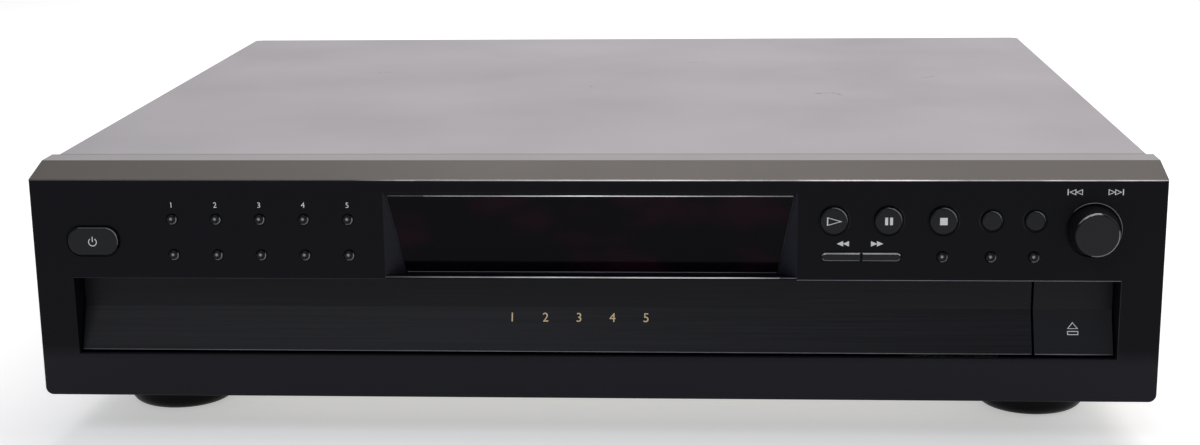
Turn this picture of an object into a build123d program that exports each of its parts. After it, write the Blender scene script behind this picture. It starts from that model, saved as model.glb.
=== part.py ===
from build123d import *
from math import atan2, cos, degrees, hypot, pi, radians, sin, tan
import os

# A front-loading disc changer with a five-place carousel on a sliding tray.
# Millimetres. +X is right as seen from the front, +Y is to the rear, +Z is up.
# The origin lies on the floor, under the middle of the bounding box.

os.makedirs("parts", exist_ok=True)

# ---------------------------------------------------------------- driving dimensions
# the case
case_width = 430.0          # front panel, side to side
case_height = 110.0         # floor to the top of the cover
case_depth = 387.0          # front of the knob to the ends of the rear jacks
knob_reach = 8.5            # the knob stands this far out of the front face
jack_reach = 12.0           # the jacks stand this far out of the rear panel
foot_gap = 19.5             # floor to the bottom edge of the front panel
seam = 0.6                  # visible joint between front panel and cover
loose = 0.3                 # clearance between pieces that are only laid together
slip = 0.05                 # radial clearance of a running fit

# sheet metal
cover_sheet = 0.8
base_sheet = 1.0
cover_inset = 1.5           # the cover is this much narrower than the panel, each side
bend_radius = 2.0

# front panel moulding
panel_wall = 2.4            # front wall
panel_skirt = 2.0           # side, top and bottom walls
panel_depth = 29.0          # front face to the back edge of the top strip
band_depth = 16.8           # sloping band above the face, front to back
band_rise = 4.4             # sloping band, bottom to top
corner_radius = 3.0         # bottom corners of the panel, seen from the front
edge_radius = 0.6           # softened edges round the face

# the mouth of the drawer and the button beside it
mouth_left = -200.2
mouth_right = 199.4
mouth_bottom = 36.4
mouth_top = 67.0
mouth_gap = 0.9             # drawer and button to the edge of the mouth
drawer_right = 168.0        # right end of the drawer front
drawer_recess = 10.5        # upper part of the drawer front, behind the face
drawer_toe = 3.0            # lower edge of the drawer front, behind the face
drawer_crease = 53.2        # height of the crease where the lower part starts to slope
drawer_wall = 2.2
drawer_depth = 13.0         # back of the drawer front, behind the face

# display window
recess_width = 157.0        # window recess at the face
recess_top = 101.1
recess_depth = 7.0          # recess at its lower edge
recess_floor = 68.0         # top of the ledge under the window
bevel_depth = 1.0           # small bevel over the window
bevel_drop = 1.7
pane_thickness = 2.0
pane_rim = 12.0             # width of the ledge that the pane is glued on

# controls: positions on the face
upper_row = 90.3            # height of the upper row of buttons
lower_row = 76.3            # height of the lower row
column_start = -160.1       # first of the five columns on the left
column_pitch = 17.0
play_x = 92.0
pause_x = 112.3
stop_x = 132.7
swap_x = 150.7
skip_x = 166.7
seek_x = 102.4              # middle of the pair of search buttons
knob_x = 188.3
knob_z = 86.6
power_x = -191.2
power_z = 81.8

# controls: sizes
small_radius = 2.0
medium_radius = 3.7
large_radius = 5.1
button_play = 0.25          # button to hole, all round
button_proud = 1.6          # large and power buttons stand this far out
button_low = 0.9            # small buttons stand this far out
button_crown = 0.8
button_travel = 0.8
dish_margin = 0.9           # shallow dish round each button
dish_depth = 0.5
collar = 0.8                # collar that keeps a button behind the wall
power_width = 19.4
power_height = 10.8
seek_width = 14.6
seek_height = 3.3
seek_split = 0.5
knob_radius = 8.2
knob_flare_radius = 9.5      # the knob at the panel
knob_dish_radius = 10.4
knob_dish_depth = 1.4
knob_travel = 0.8
encoder_shaft_radius = 3.0

# board behind the front panel
panel_board_y = 16.0        # front of the board, behind the face
board_thickness = 1.6
switch_height = 3.6

# disc tray and carousel
tray_travel = 235.0
tray_half_width = 182.0
tray_floor = 2.0
tray_floor_z = 41.0         # underside of the tray
tray_wall_height = 9.0
tray_wall_inset = 3.5       # the tray's side walls stand in from its running edge
places = 5
disc_radius = 60.0
pocket_play = 0.4
pocket_pitch = 103.5        # pitch radius of the five pockets
carousel_radius = 165.5
carousel_thickness = 5.0
carousel_z = 47.3           # underside of the carousel
pocket_depth = 3.5
small_disc_radius = 40.0
small_disc_depth = 0.7
slot_radius = 28.0          # half width of each pocket's opening for the optical unit
hub_radius = 15.0
hub_height = 3.0
post_radius = 6.0
rack_x = 166.0              # tray rack, from the middle of the tray to its pitch line

# gear teeth
gear_module = 2.0           # carousel gears
fine_module = 1.0           # loading and sled gears
hub_teeth = 38
table_teeth = 12
drive_teeth = 36            # large wheel of the loading drive gear
pinion_teeth = 18           # its pinion, on the tray rack
pulley_teeth = 12           # pinion of the loading pulley gear
sled_teeth = 16
tip_share = 0.9             # tooth tip above the pitch line, in modules
root_share = 1.15           # tooth root below the pitch line, in modules
tooth_share = 0.40          # tooth thickness on the pitch line, in pitches
flank_angle = 20.0

# optical unit
unit_lift = 9.5
seat_z = 43.8               # top of the turntable, unit lowered
turntable_radius = 14.0
cone_radius = 7.4
cone_height = 2.3
sled_start = 24.0           # lens to spindle, innermost track
sled_travel = 34.0
cam_ratio = 2.0             # cam travel for one unit of lift

# other pieces
foot_radius = 22.0
front_foot_y = 61.0         # foot centre behind the face
rear_foot_y = 38.5          # foot centre in front of the rear panel
foot_x = 177.0
screw_radius = 1.5
screw_head = 3.3
screw_head_height = 1.3
screw_length = 8.0

# ---------------------------------------------------------------- derived places
front_y = -case_depth / 2 + knob_reach
rear_y = case_depth / 2 - jack_reach
wall_back = front_y + panel_wall
face_top = case_height - band_rise
cover_front = front_y + panel_depth + seam
cover_width = case_width - 2 * cover_inset
base_z = foot_gap + panel_skirt
base_top = base_z + base_sheet
base_half_width = case_width / 2 - max(panel_wall, cover_inset + cover_sheet) - loose
mech_x = (mouth_left + mouth_gap / 2 + drawer_right) / 2
tray_front = front_y + drawer_depth + loose
mech_y = tray_front + 3.2 + carousel_radius
tray_rear = mech_y + carousel_radius + 3.0
tray_top = tray_floor_z + tray_floor
spindle_y = mech_y + pocket_pitch


def front_plane(y):
    """A vertical plane at depth y, facing the front: its x is +X and its y is +Z."""
    return Plane.XZ.offset(-y)


def side_plane(x):
    """A vertical plane at x, facing right: its x is +Y and its y is +Z."""
    return Plane.YZ.offset(x)


def level(z):
    """A horizontal plane at height z."""
    return Plane.XY.offset(z)


def wheel_points(teeth, module, phase):
    """Corners of a spur wheel with straight flanks, one tooth centred at the angle phase."""
    pitch_radius = teeth * module / 2
    tip = pitch_radius + tip_share * module
    root = pitch_radius - root_share * module
    half = tooth_share * pi * module / 2
    tip_half = half - tip_share * module * tan(radians(flank_angle))
    root_half = half + root_share * module * tan(radians(flank_angle))
    points = []
    for tooth in range(teeth):
        centre = radians(phase) + 2 * pi * tooth / teeth
        for radius, offset in ((root, -root_half), (tip, -tip_half), (tip, tip_half), (root, root_half)):
            angle = centre + offset / radius
            points.append((radius * cos(angle), radius * sin(angle)))
    return points


def rack_points(count, module, thickness):
    """Corners of a rack whose teeth point along -x, with a gap at the origin of its pitch line."""
    half = tooth_share * pi * module / 2
    tip_half = half - tip_share * module * tan(radians(flank_angle))
    root_half = half + root_share * module * tan(radians(flank_angle))
    root_x = root_share * module
    points = []
    for tooth in range(count):
        centre = (tooth + 0.5) * pi * module
        points.append((root_x, centre - root_half))
        points.append((-tip_share * module, centre - tip_half))
        points.append((-tip_share * module, centre + tip_half))
        points.append((root_x, centre + root_half))
    points.append((root_x + thickness, count * pi * module))
    points.append((root_x + thickness, 0))
    return points


# ---------------------------------------------------------------- the case
# Folded steel cover: top and two sides in one sheet, with a lip down the back for the rear screws.
side_screw_y = (-110.0, 130.0)
side_screw_z = 34.0
rear_screw_x = (-150.0, 0.0, 150.0)
rear_screw_z = case_height - 6.0
lip_height = 12.0
with BuildPart() as top_cover:
    cover_half = cover_width / 2
    with BuildSketch(front_plane(rear_y)) as cover_outline:
        with Locations((0, foot_gap + loose)):
            Rectangle(cover_width, case_height - foot_gap - loose, align=(Align.CENTER, Align.MIN))
        fillet(cover_outline.vertices().group_by(Axis.Z)[-1], bend_radius)
    extrude(amount=rear_y - cover_front)
    with BuildSketch(front_plane(rear_y)) as cover_inside:
        with Locations((0, foot_gap)):
            Rectangle(
                cover_width - 2 * cover_sheet,
                case_height - foot_gap - cover_sheet,
                align=(Align.CENTER, Align.MIN),
            )
        fillet(cover_inside.vertices().group_by(Axis.Z)[-1], bend_radius - cover_sheet)
    extrude(amount=rear_y - cover_front, mode=Mode.SUBTRACT)
    with BuildSketch(front_plane(rear_y + cover_sheet)):
        with Locations((0, case_height)):
            Rectangle(cover_width - 4 * bend_radius, lip_height, align=(Align.CENTER, Align.MAX))
    extrude(amount=cover_sheet)
    with BuildSketch(front_plane(rear_y + cover_sheet)):
        with Locations(*[(x, rear_screw_z) for x in rear_screw_x]):
            Circle(screw_radius + slip)
    extrude(amount=cover_sheet, mode=Mode.SUBTRACT)
    with BuildSketch(side_plane(-cover_half)):
        with Locations(*[(y, side_screw_z) for y in side_screw_y]):
            Circle(screw_radius + slip)
    extrude(amount=cover_width, mode=Mode.SUBTRACT)
top_cover.part.label = "top_cover"
export_step(top_cover.part, "parts/top_cover.step")

# Cutter for the window recess: a wedge that deepens downwards between two slanting cheeks.
cheek_run = 1.03            # cheeks lean in by this much for each millimetre of depth
pane_depth = recess_depth + pane_thickness + 0.6
with BuildPart() as recess_cutter:
    with BuildSketch(side_plane(-recess_width)):
        with BuildLine():
            Polyline(
                (front_y - 1.0, recess_top + bevel_drop),
                (front_y + bevel_depth, recess_top - bevel_drop),
                (front_y + recess_depth, recess_floor),
                (front_y - 1.0, recess_floor),
                close=True,
            )
        make_face()
    extrude(amount=2 * recess_width)
    with BuildSketch(level(recess_floor)):
        with BuildLine():
            Polyline(
                (-recess_width / 2 - cheek_run, front_y - 1.0),
                (recess_width / 2 + cheek_run, front_y - 1.0),
                (recess_width / 2 - cheek_run * recess_depth, front_y + recess_depth),
                (-recess_width / 2 + cheek_run * recess_depth, front_y + recess_depth),
                close=True,
            )
        make_face()
    extrude(amount=case_height, mode=Mode.INTERSECT)

# Smoked window pane: a flat plate behind the recess, leaning back towards its lower edge.
window_run = recess_depth - bevel_depth
window_drop = recess_top - bevel_drop - recess_floor
window_slope = hypot(window_run, window_drop)
pane_dy = pane_thickness * window_drop / window_slope
pane_dz = pane_thickness * window_run / window_slope
with BuildPart() as display_window:
    with BuildSketch(side_plane(-recess_width)):
        with BuildLine():
            Polyline(
                (front_y + bevel_depth, recess_top - bevel_drop),
                (front_y + recess_depth, recess_floor),
                (front_y + recess_depth + pane_dy, recess_floor + pane_dz),
                (front_y + bevel_depth + pane_dy, recess_top - bevel_drop + pane_dz),
                close=True,
            )
        make_face()
    extrude(amount=2 * recess_width)
    with BuildSketch(level(recess_floor - 1.0)):
        with BuildLine():
            Polyline(
                (-recess_width / 2, front_y),
                (recess_width / 2, front_y),
                (recess_width / 2 - cheek_run * recess_depth, front_y + recess_depth),
                (recess_width / 2 - cheek_run * recess_depth, front_y + pane_depth),
                (-recess_width / 2 + cheek_run * recess_depth, front_y + pane_depth),
                (-recess_width / 2 + cheek_run * recess_depth, front_y + recess_depth),
                close=True,
            )
        make_face()
    extrude(amount=case_height, mode=Mode.INTERSECT)
display_window.part.label = "display_window"
export_step(display_window.part, "parts/display_window.step")

# Every control on the face: name, x, z and radius of its round hole.
round_controls = []
for column in range(5):
    round_controls.append((f"disc_{column + 1}_button", column_start + column * column_pitch, upper_row, small_radius))
for column, name in enumerate(("mode", "peak", "fader", "repeat", "time")):
    round_controls.append((f"{name}_button", column_start + column * column_pitch, lower_row, small_radius))
round_controls += [
    ("play_button", play_x, upper_row, large_radius),
    ("pause_button", pause_x, upper_row, large_radius),
    ("stop_button", stop_x, upper_row, large_radius),
    ("disc_swap_button", swap_x, upper_row, medium_radius),
    ("disc_skip_button", skip_x, upper_row, medium_radius),
    ("edit_button", stop_x, lower_row, small_radius),
    ("check_button", swap_x, lower_row, small_radius),
    ("clear_button", skip_x, lower_row, small_radius),
]
board_y = front_y + panel_board_y
boss_places = [(-176.0, 99.0), (-84.0, 70.6), (84.0, 70.6), (176.0, 72.5), (-200.0, 71.5), (203.0, 99.5)]
boss_radius = 2.2

# Front panel: one moulding with the sloping band, the top strip, the skirts and the mouth of the drawer.
with BuildPart() as front_panel:
    with BuildSketch(side_plane(-case_width / 2)):
        with BuildLine():
            Polyline(
                (front_y, foot_gap),
                (front_y, face_top),
                (front_y + band_depth, case_height),
                (front_y + panel_depth, case_height),
                (front_y + panel_depth, foot_gap),
                close=True,
            )
        make_face()
    extrude(amount=case_width)
    fillet(front_panel.edges().filter_by(Axis.Y).group_by(Axis.Z)[0], corner_radius)
    front_edges = front_panel.edges().group_by(Axis.Y)[0]
    fillet(front_edges, edge_radius)
    with BuildSketch(side_plane(-case_width / 2 + panel_skirt)):
        with BuildLine():
            Polyline(
                (wall_back, foot_gap + panel_skirt),
                (wall_back, face_top - panel_skirt / 2),
                (front_y + band_depth, case_height - panel_skirt),
                (front_y + panel_depth, case_height - panel_skirt),
                (front_y + panel_depth, foot_gap + panel_skirt),
                close=True,
            )
        make_face()
    extrude(amount=case_width - 2 * panel_skirt, mode=Mode.SUBTRACT)
    # thick block that carries the window recess
    with BuildSketch(front_plane(front_y + pane_depth + 1.0)):
        with Locations((0, mouth_top)):
            Rectangle(recess_width + 6.0, recess_top + 1.5 - mouth_top, align=(Align.CENTER, Align.MIN))
    extrude(amount=pane_depth + 1.0 - panel_wall)
    add(recess_cutter.part, mode=Mode.SUBTRACT)
    add(display_window.part, mode=Mode.SUBTRACT)
    with BuildSketch(front_plane(front_y + pane_depth + 1.0)):
        with Locations((0, (recess_top - bevel_drop + recess_floor) / 2)):
            Rectangle(recess_width - 2 * cheek_run * recess_depth - 2 * pane_rim, window_drop - pane_rim / 2)
    extrude(amount=pane_depth, mode=Mode.SUBTRACT)
    # mouth of the drawer
    with BuildSketch(front_plane(wall_back)):
        with Locations((mouth_left, mouth_bottom)):
            Rectangle(mouth_right - mouth_left, mouth_top - mouth_bottom, align=(Align.MIN, Align.MIN))
    extrude(amount=panel_wall, mode=Mode.SUBTRACT)
    # holes for the controls, each in its shallow dish
    with BuildSketch(front_plane(wall_back)):
        for name, x, z, radius in round_controls:
            with Locations((x, z)):
                Circle(radius + button_play)
        with Locations((power_x, power_z)):
            RectangleRounded(power_width + 2 * button_play, power_height + 2 * button_play, power_height * 0.46)
        with Locations((seek_x, lower_row)):
            SlotOverall(2 * seek_width + seek_split + 2 * button_play, seek_height + 2 * button_play)
        with Locations((knob_x, knob_z)):
            Circle(knob_radius + button_play)
    extrude(amount=panel_wall, mode=Mode.SUBTRACT)
    with BuildSketch(front_plane(front_y + dish_depth)):
        for name, x, z, radius in round_controls:
            if radius > small_radius:
                with Locations((x, z)):
                    Circle(radius + dish_margin)
        with Locations((power_x, power_z)):
            RectangleRounded(power_width + 2 * dish_margin, power_height + 2 * dish_margin, power_height * 0.54)
    extrude(amount=dish_depth, mode=Mode.SUBTRACT)
    with BuildSketch(front_plane(front_y + knob_dish_depth)):
        with Locations((knob_x, knob_z)):
            Circle(knob_dish_radius)
    extrude(amount=knob_dish_depth, mode=Mode.SUBTRACT)
    # bosses that hold the control board
    with BuildSketch(front_plane(board_y)):
        with Locations(*boss_places):
            Circle(boss_radius)
    extrude(amount=board_y - wall_back)
    # returns at both ends of the mouth, beside the drawer and its button
    with BuildSketch(front_plane(front_y + drawer_depth)):
        for x, align in ((mouth_left, Align.MAX), (mouth_right, Align.MIN)):
            with Locations((x, mouth_bottom)):
                Rectangle(panel_skirt, mouth_top - mouth_bottom, align=(align, Align.MIN))
    extrude(amount=drawer_depth - panel_wall)
front_panel.part.label = "front_panel"
export_step(front_panel.part, "parts/front_panel.step")

# Steel base: bottom plate with folded side flanges, guide posts for the optical unit and vent slots.
base_front = wall_back + loose
flange_top = 40.0
guide_post_radius = 2.5
guide_post_x = 50.0
guide_post_y = spindle_y + 16.0
guide_post_top = tray_floor_z - 2.0
unit_front = spindle_y - 26.5
unit_rear = spindle_y + 71.5
foot_places = [
    (side * foot_x, y) for side in (-1, 1) for y in (front_y + front_foot_y, rear_y - rear_foot_y)
]
peg_radius = 4.0
peg_height = 3.0
with BuildPart() as base_chassis:
    with BuildSketch(level(base_z)):
        with Locations((0, base_front)):
            Rectangle(2 * base_half_width, rear_y - base_sheet - base_front, align=(Align.CENTER, Align.MIN))
    extrude(amount=base_sheet)
    flange_length = rear_y - base_sheet - cover_front
    with BuildSketch(level(base_z)):
        for side in (-1, 1):
            with Locations((side * (base_half_width - base_sheet / 2), cover_front)):
                Rectangle(base_sheet, flange_length, align=(Align.CENTER, Align.MIN))
    extrude(amount=flange_top - base_z)
    with BuildSketch(level(base_top)):
        with Locations(*[(mech_x + side * guide_post_x, guide_post_y) for side in (-1, 1)]):
            Circle(guide_post_radius)
    extrude(amount=guide_post_top - base_top)
    with BuildSketch(level(base_z)):
        with Locations(*foot_places):
            Circle(peg_radius + slip)
        with GridLocations(14.0, 40.0, 9, 2):
            SlotOverall(30.0, 4.0, rotation=90)
    extrude(amount=base_sheet, mode=Mode.SUBTRACT)
    with BuildSketch(side_plane(-base_half_width)):
        with Locations(*[(y, side_screw_z) for y in side_screw_y]):
            Circle(screw_radius + slip)
    extrude(amount=2 * base_half_width, mode=Mode.SUBTRACT)
base_chassis.part.label = "base_chassis"
export_step(base_chassis.part, "parts/base_chassis.step")

# Rear panel: a flat steel plate with cut-outs for the jack block and the mains gland.
jack_x = 122.0
jack_z = 44.0
jack_pitch = 16.0
jack_radius = 4.15
jack_plate_width = 56.0
jack_plate_height = 20.0
gland_x = 190.0
gland_z = 44.0
gland_radius = 6.0
with BuildPart() as rear_panel:
    with BuildSketch(front_plane(rear_y)):
        with Locations((0, base_top)):
            Rectangle(
                2 * base_half_width - 2 * base_sheet - loose,
                case_height - cover_sheet - loose - base_top,
                align=(Align.CENTER, Align.MIN),
            )
        with Locations((jack_x, jack_z)):
            Rectangle(jack_plate_width + slip, jack_plate_height + slip, mode=Mode.SUBTRACT)
        with Locations((gland_x, gland_z)):
            Circle(gland_radius + slip, mode=Mode.SUBTRACT)
        with Locations(*[(x, rear_screw_z) for x in rear_screw_x]):
            Circle(screw_radius + slip, mode=Mode.SUBTRACT)
    extrude(amount=base_sheet)
rear_panel.part.label = "rear_panel"
export_step(rear_panel.part, "parts/rear_panel.step")

# Feet: four hollow moulded discs, each with a peg that snaps through the base.
foot_round = 5.0
with BuildPart() as feet:
    with BuildSketch(level(0)):
        with Locations(*foot_places):
            Circle(foot_radius)
    extrude(amount=base_z)
    fillet(feet.edges().filter_by(GeomType.CIRCLE).group_by(Axis.Z)[0], foot_round)
    with BuildSketch(level(base_z)):
        with Locations(*foot_places):
            Circle(peg_radius)
    extrude(amount=peg_height)
feet.part.label = "feet"
export_step(feet.part, "parts/feet.step")

# Screws: two in each side of the cover and three through its rear lip, all alike.
with BuildPart() as case_screws:
    for side in (-1, 1):
        for y in side_screw_y:
            head_plane = Plane(
                origin=(side * (cover_half + screw_head_height), y, side_screw_z), z_dir=(-side, 0, 0)
            )
            with BuildSketch(head_plane):
                Circle(screw_head)
            extrude(amount=screw_head_height)
            with BuildSketch(head_plane.offset(screw_head_height)):
                Circle(screw_radius)
            extrude(amount=screw_length)
    for x in rear_screw_x:
        head_plane = Plane(
            origin=(x, rear_y + cover_sheet + screw_head_height, rear_screw_z), z_dir=(0, -1, 0)
        )
        with BuildSketch(head_plane):
            Circle(screw_head)
        extrude(amount=screw_head_height)
        with BuildSketch(head_plane.offset(screw_head_height)):
            Circle(screw_radius)
        extrude(amount=screw_length)
case_screws.part.label = "case_screws"
export_step(case_screws.part, "parts/case_screws.step")

# ---------------------------------------------------------------- controls
stem_end = board_y - switch_height - button_travel - 0.4
collar_back = wall_back + slip + collar
stem_radius = 1.2


def push_button(name, places, proud, draw_cap, draw_collar):
    """One push button: a cap in its hole, a collar behind the wall and stems to the switches."""
    with BuildPart() as button:
        with BuildSketch(front_plane(wall_back + slip)):
            draw_cap()
        extrude(amount=panel_wall + slip + proud)
        fillet(button.edges().group_by(Axis.Y)[0], min(button_crown, proud * 0.8))
        with BuildSketch(front_plane(collar_back)):
            draw_collar()
        extrude(amount=collar)
        with BuildSketch(front_plane(stem_end)):
            with Locations(*places):
                Circle(stem_radius)
        extrude(amount=stem_end - collar_back)
    button.part.label = name
    export_step(button.part, f"parts/{name}.step")
    return button


def round_button(name, x, z, radius):
    """A round push button."""

    def draw_cap():
        with Locations((x, z)):
            Circle(radius)

    def draw_collar():
        with Locations((x, z)):
            Circle(radius + collar)

    proud = button_low if radius < large_radius else button_proud
    return push_button(name, [(x, z)], proud, draw_cap, draw_collar)


for name, x, z, radius in round_controls:
    round_button(name, x, z, radius)


def draw_power_cap():
    with Locations((power_x, power_z)):
        RectangleRounded(power_width, power_height, power_height * 0.44)


def draw_power_collar():
    with Locations((power_x, power_z)):
        RectangleRounded(power_width + 2 * collar, power_height + 2 * collar, power_height * 0.5)


push_button("power_button", [(power_x, power_z)], button_proud, draw_power_cap, draw_power_collar)

# The two search buttons share one pill-shaped hole, split down the middle.
for name, side in (("rewind_button", -1), ("forward_button", 1)):
    inner_x = seek_x + side * seek_split / 2

    def draw_seek_half(grow):
        with Locations((seek_x, lower_row)):
            SlotOverall(2 * seek_width + seek_split + 2 * grow, seek_height + 2 * grow)
        with Locations((inner_x, lower_row)):
            Rectangle(
                2 * seek_width,
                2 * seek_height,
                align=(Align.MIN if side < 0 else Align.MAX, Align.CENTER),
                mode=Mode.SUBTRACT,
            )

    push_button(
        name,
        [(seek_x + side * (seek_width + seek_split) / 2, lower_row)],
        button_low,
        lambda: draw_seek_half(0),
        lambda: draw_seek_half(collar / 2),
    )

# Drawer button: the right end of the drawer's relief, with the same crease and slope.
button_left = drawer_right + mouth_gap
button_right = mouth_right - mouth_gap
drawer_bottom = mouth_bottom + mouth_gap
drawer_top = mouth_top - mouth_gap
drawer_left = mouth_left + mouth_gap / 2
drawer_slope = (drawer_recess - drawer_toe) / (drawer_crease - drawer_bottom)


def drawer_outline(inset):
    """Side profile of the drawer front and its button, drawn in by inset; open at the back if hollow."""
    back = front_y + drawer_depth
    Polyline(
        (front_y + drawer_recess + inset, drawer_top - inset),
        (front_y + drawer_recess + inset, drawer_crease),
        (front_y + drawer_toe + inset + drawer_slope * inset, drawer_bottom + inset),
        (back, drawer_bottom + inset),
        (back, drawer_top - inset),
        close=True,
    )


with BuildPart() as open_close_button:
    with BuildSketch(side_plane(button_left)):
        with BuildLine():
            drawer_outline(0)
        make_face()
    extrude(amount=button_right - button_left)
    with BuildSketch(side_plane(button_left + drawer_wall)):
        with BuildLine():
            drawer_outline(drawer_wall)
        make_face()
    extrude(amount=button_right - button_left - 2 * drawer_wall, mode=Mode.SUBTRACT)
    key_x = (button_left + button_right) / 2
    key_z = (drawer_bottom + drawer_crease) / 2
    with BuildSketch(front_plane(stem_end)):
        with Locations((key_x, key_z)):
            Circle(3 * stem_radius)
    extrude(amount=stem_end - front_y - drawer_recess + drawer_slope * drawer_wall)
open_close_button.part.label = "open_close_button"
export_step(open_close_button.part, "parts/open_close_button.step")

# Knob: a smooth cap that flares a little towards the panel, pushed on the encoder's shaft.
knob_back = front_y + knob_dish_depth - 0.4
knob_front = front_y - knob_reach
flare_back = front_y + knob_dish_depth - knob_travel - 0.1
flare_length = flare_back - knob_front
with BuildPart() as knob:
    with BuildSketch(front_plane(knob_back)):
        with Locations((knob_x, knob_z)):
            Circle(knob_radius)
    extrude(amount=knob_back - flare_back)
    with BuildSketch(front_plane(flare_back)):
        with Locations((knob_x, knob_z)):
            Circle(knob_flare_radius)
    extrude(amount=flare_length, taper=degrees(atan2(knob_flare_radius - knob_radius, flare_length)))
    fillet(knob.edges().group_by(Axis.Y)[0], 0.9)
    shaft_depth = 7.0
    with BuildSketch(front_plane(knob_back)):
        with Locations((knob_x, knob_z)):
            Circle(encoder_shaft_radius + slip)
    extrude(amount=shaft_depth, mode=Mode.SUBTRACT)
knob.part.label = "knob"
export_step(knob.part, "parts/knob.step")

# Encoder shaft: turns in the encoder's bush and carries the knob, which slides a little on it.
bush_front = board_y - 8.0
with BuildPart() as encoder_shaft:
    with BuildSketch(front_plane(board_y - 1.0)):
        with Locations((knob_x, knob_z)):
            Circle(encoder_shaft_radius)
    extrude(amount=board_y - 1.0 - (knob_back - shaft_depth + knob_travel + 0.4))
encoder_shaft.part.label = "encoder_shaft"
export_step(encoder_shaft.part, "parts/encoder_shaft.step")

# Control board: behind the whole face, with one switch for each button and the encoder.
board_left = -206.0
board_right = 207.0
board_top = 103.0
board_low = 69.0
tab_left = drawer_right + 7.0
with BuildPart() as panel_board:
    with BuildSketch(front_plane(board_y + board_thickness)):
        with Locations((board_left, board_low)):
            Rectangle(board_right - board_left, board_top - board_low, align=(Align.MIN, Align.MIN))
        with Locations((tab_left, drawer_bottom)):
            Rectangle(board_right - tab_left, board_low - drawer_bottom, align=(Align.MIN, Align.MIN))
    extrude(amount=board_thickness)
    switch_places = [(x, z) for name, x, z, radius in round_controls]
    switch_places += [(seek_x + side * (seek_width + seek_split) / 2, lower_row) for side in (-1, 1)]
    switch_places += [(power_x, power_z), (key_x, key_z)]
    with BuildSketch(front_plane(board_y)):
        with Locations(*switch_places):
            Rectangle(6.0, 6.0)
    extrude(amount=switch_height)
    with BuildSketch(front_plane(board_y)):
        with Locations((knob_x, knob_z)):
            Circle(5.6)
    extrude(amount=board_y - bush_front)
    with BuildSketch(front_plane(board_y)):
        with Locations((knob_x, knob_z)):
            Circle(encoder_shaft_radius + slip)
    extrude(amount=board_y - bush_front, mode=Mode.SUBTRACT)
panel_board.part.label = "panel_board"
export_step(panel_board.part, "parts/panel_board.step")

# Display tube: a flat glass envelope on the board, behind the pane.
tube_width = 116.0
tube_height = 22.0
tube_depth = 3.6
with BuildPart() as display_tube:
    with BuildSketch(front_plane(board_y - slip)):
        with Locations((0, (recess_floor + recess_top) / 2 + 1.0)):
            Rectangle(tube_width, tube_height)
    extrude(amount=tube_depth)
    chamfer(display_tube.edges().group_by(Axis.Y)[0], 0.8)
display_tube.part.label = "display_tube"
export_step(display_tube.part, "parts/display_tube.step")

# ---------------------------------------------------------------- drawer and carousel
# Drawer front: a hollow moulding with a crease, recessed above and sloping forward below.
with BuildPart() as drawer_front:
    with BuildSketch(side_plane(drawer_left)):
        with BuildLine():
            drawer_outline(0)
        make_face()
    extrude(amount=drawer_right - drawer_left)
    with BuildSketch(side_plane(drawer_left + drawer_wall)):
        with BuildLine():
            drawer_outline(drawer_wall)
        make_face()
    extrude(amount=drawer_right - drawer_left - 2 * drawer_wall, mode=Mode.SUBTRACT)
drawer_front.part.label = "drawer_front"
export_step(drawer_front.part, "parts/drawer_front.step")

# Places of the carousel drive, on the tray.
hub_pitch_radius = hub_teeth * gear_module / 2
table_pitch_radius = table_teeth * gear_module / 2
table_motor_x = mech_x - 138.0
table_motor_y = mech_y + 103.0
drive_angle = degrees(atan2(table_motor_y - mech_y, table_motor_x - mech_x))
drive_reach = hub_pitch_radius + table_pitch_radius
table_gear_x = mech_x + drive_reach * cos(radians(drive_angle))
table_gear_y = mech_y + drive_reach * sin(radians(drive_angle))
table_shaft_radius = 3.0
table_motor_radius = 12.0
motor_can_z = 28.0
belt_z = 37.4               # belt plane under the tray
belt_width = 1.6
belt_thickness = 1.2
pulley_flange = 0.6
table_pulley_radius = 9.0
motor_pulley_radius = 4.0
hub_gear_z = tray_top + 0.4
hub_gear_top = carousel_z
bracket_wall = 2.0

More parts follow.
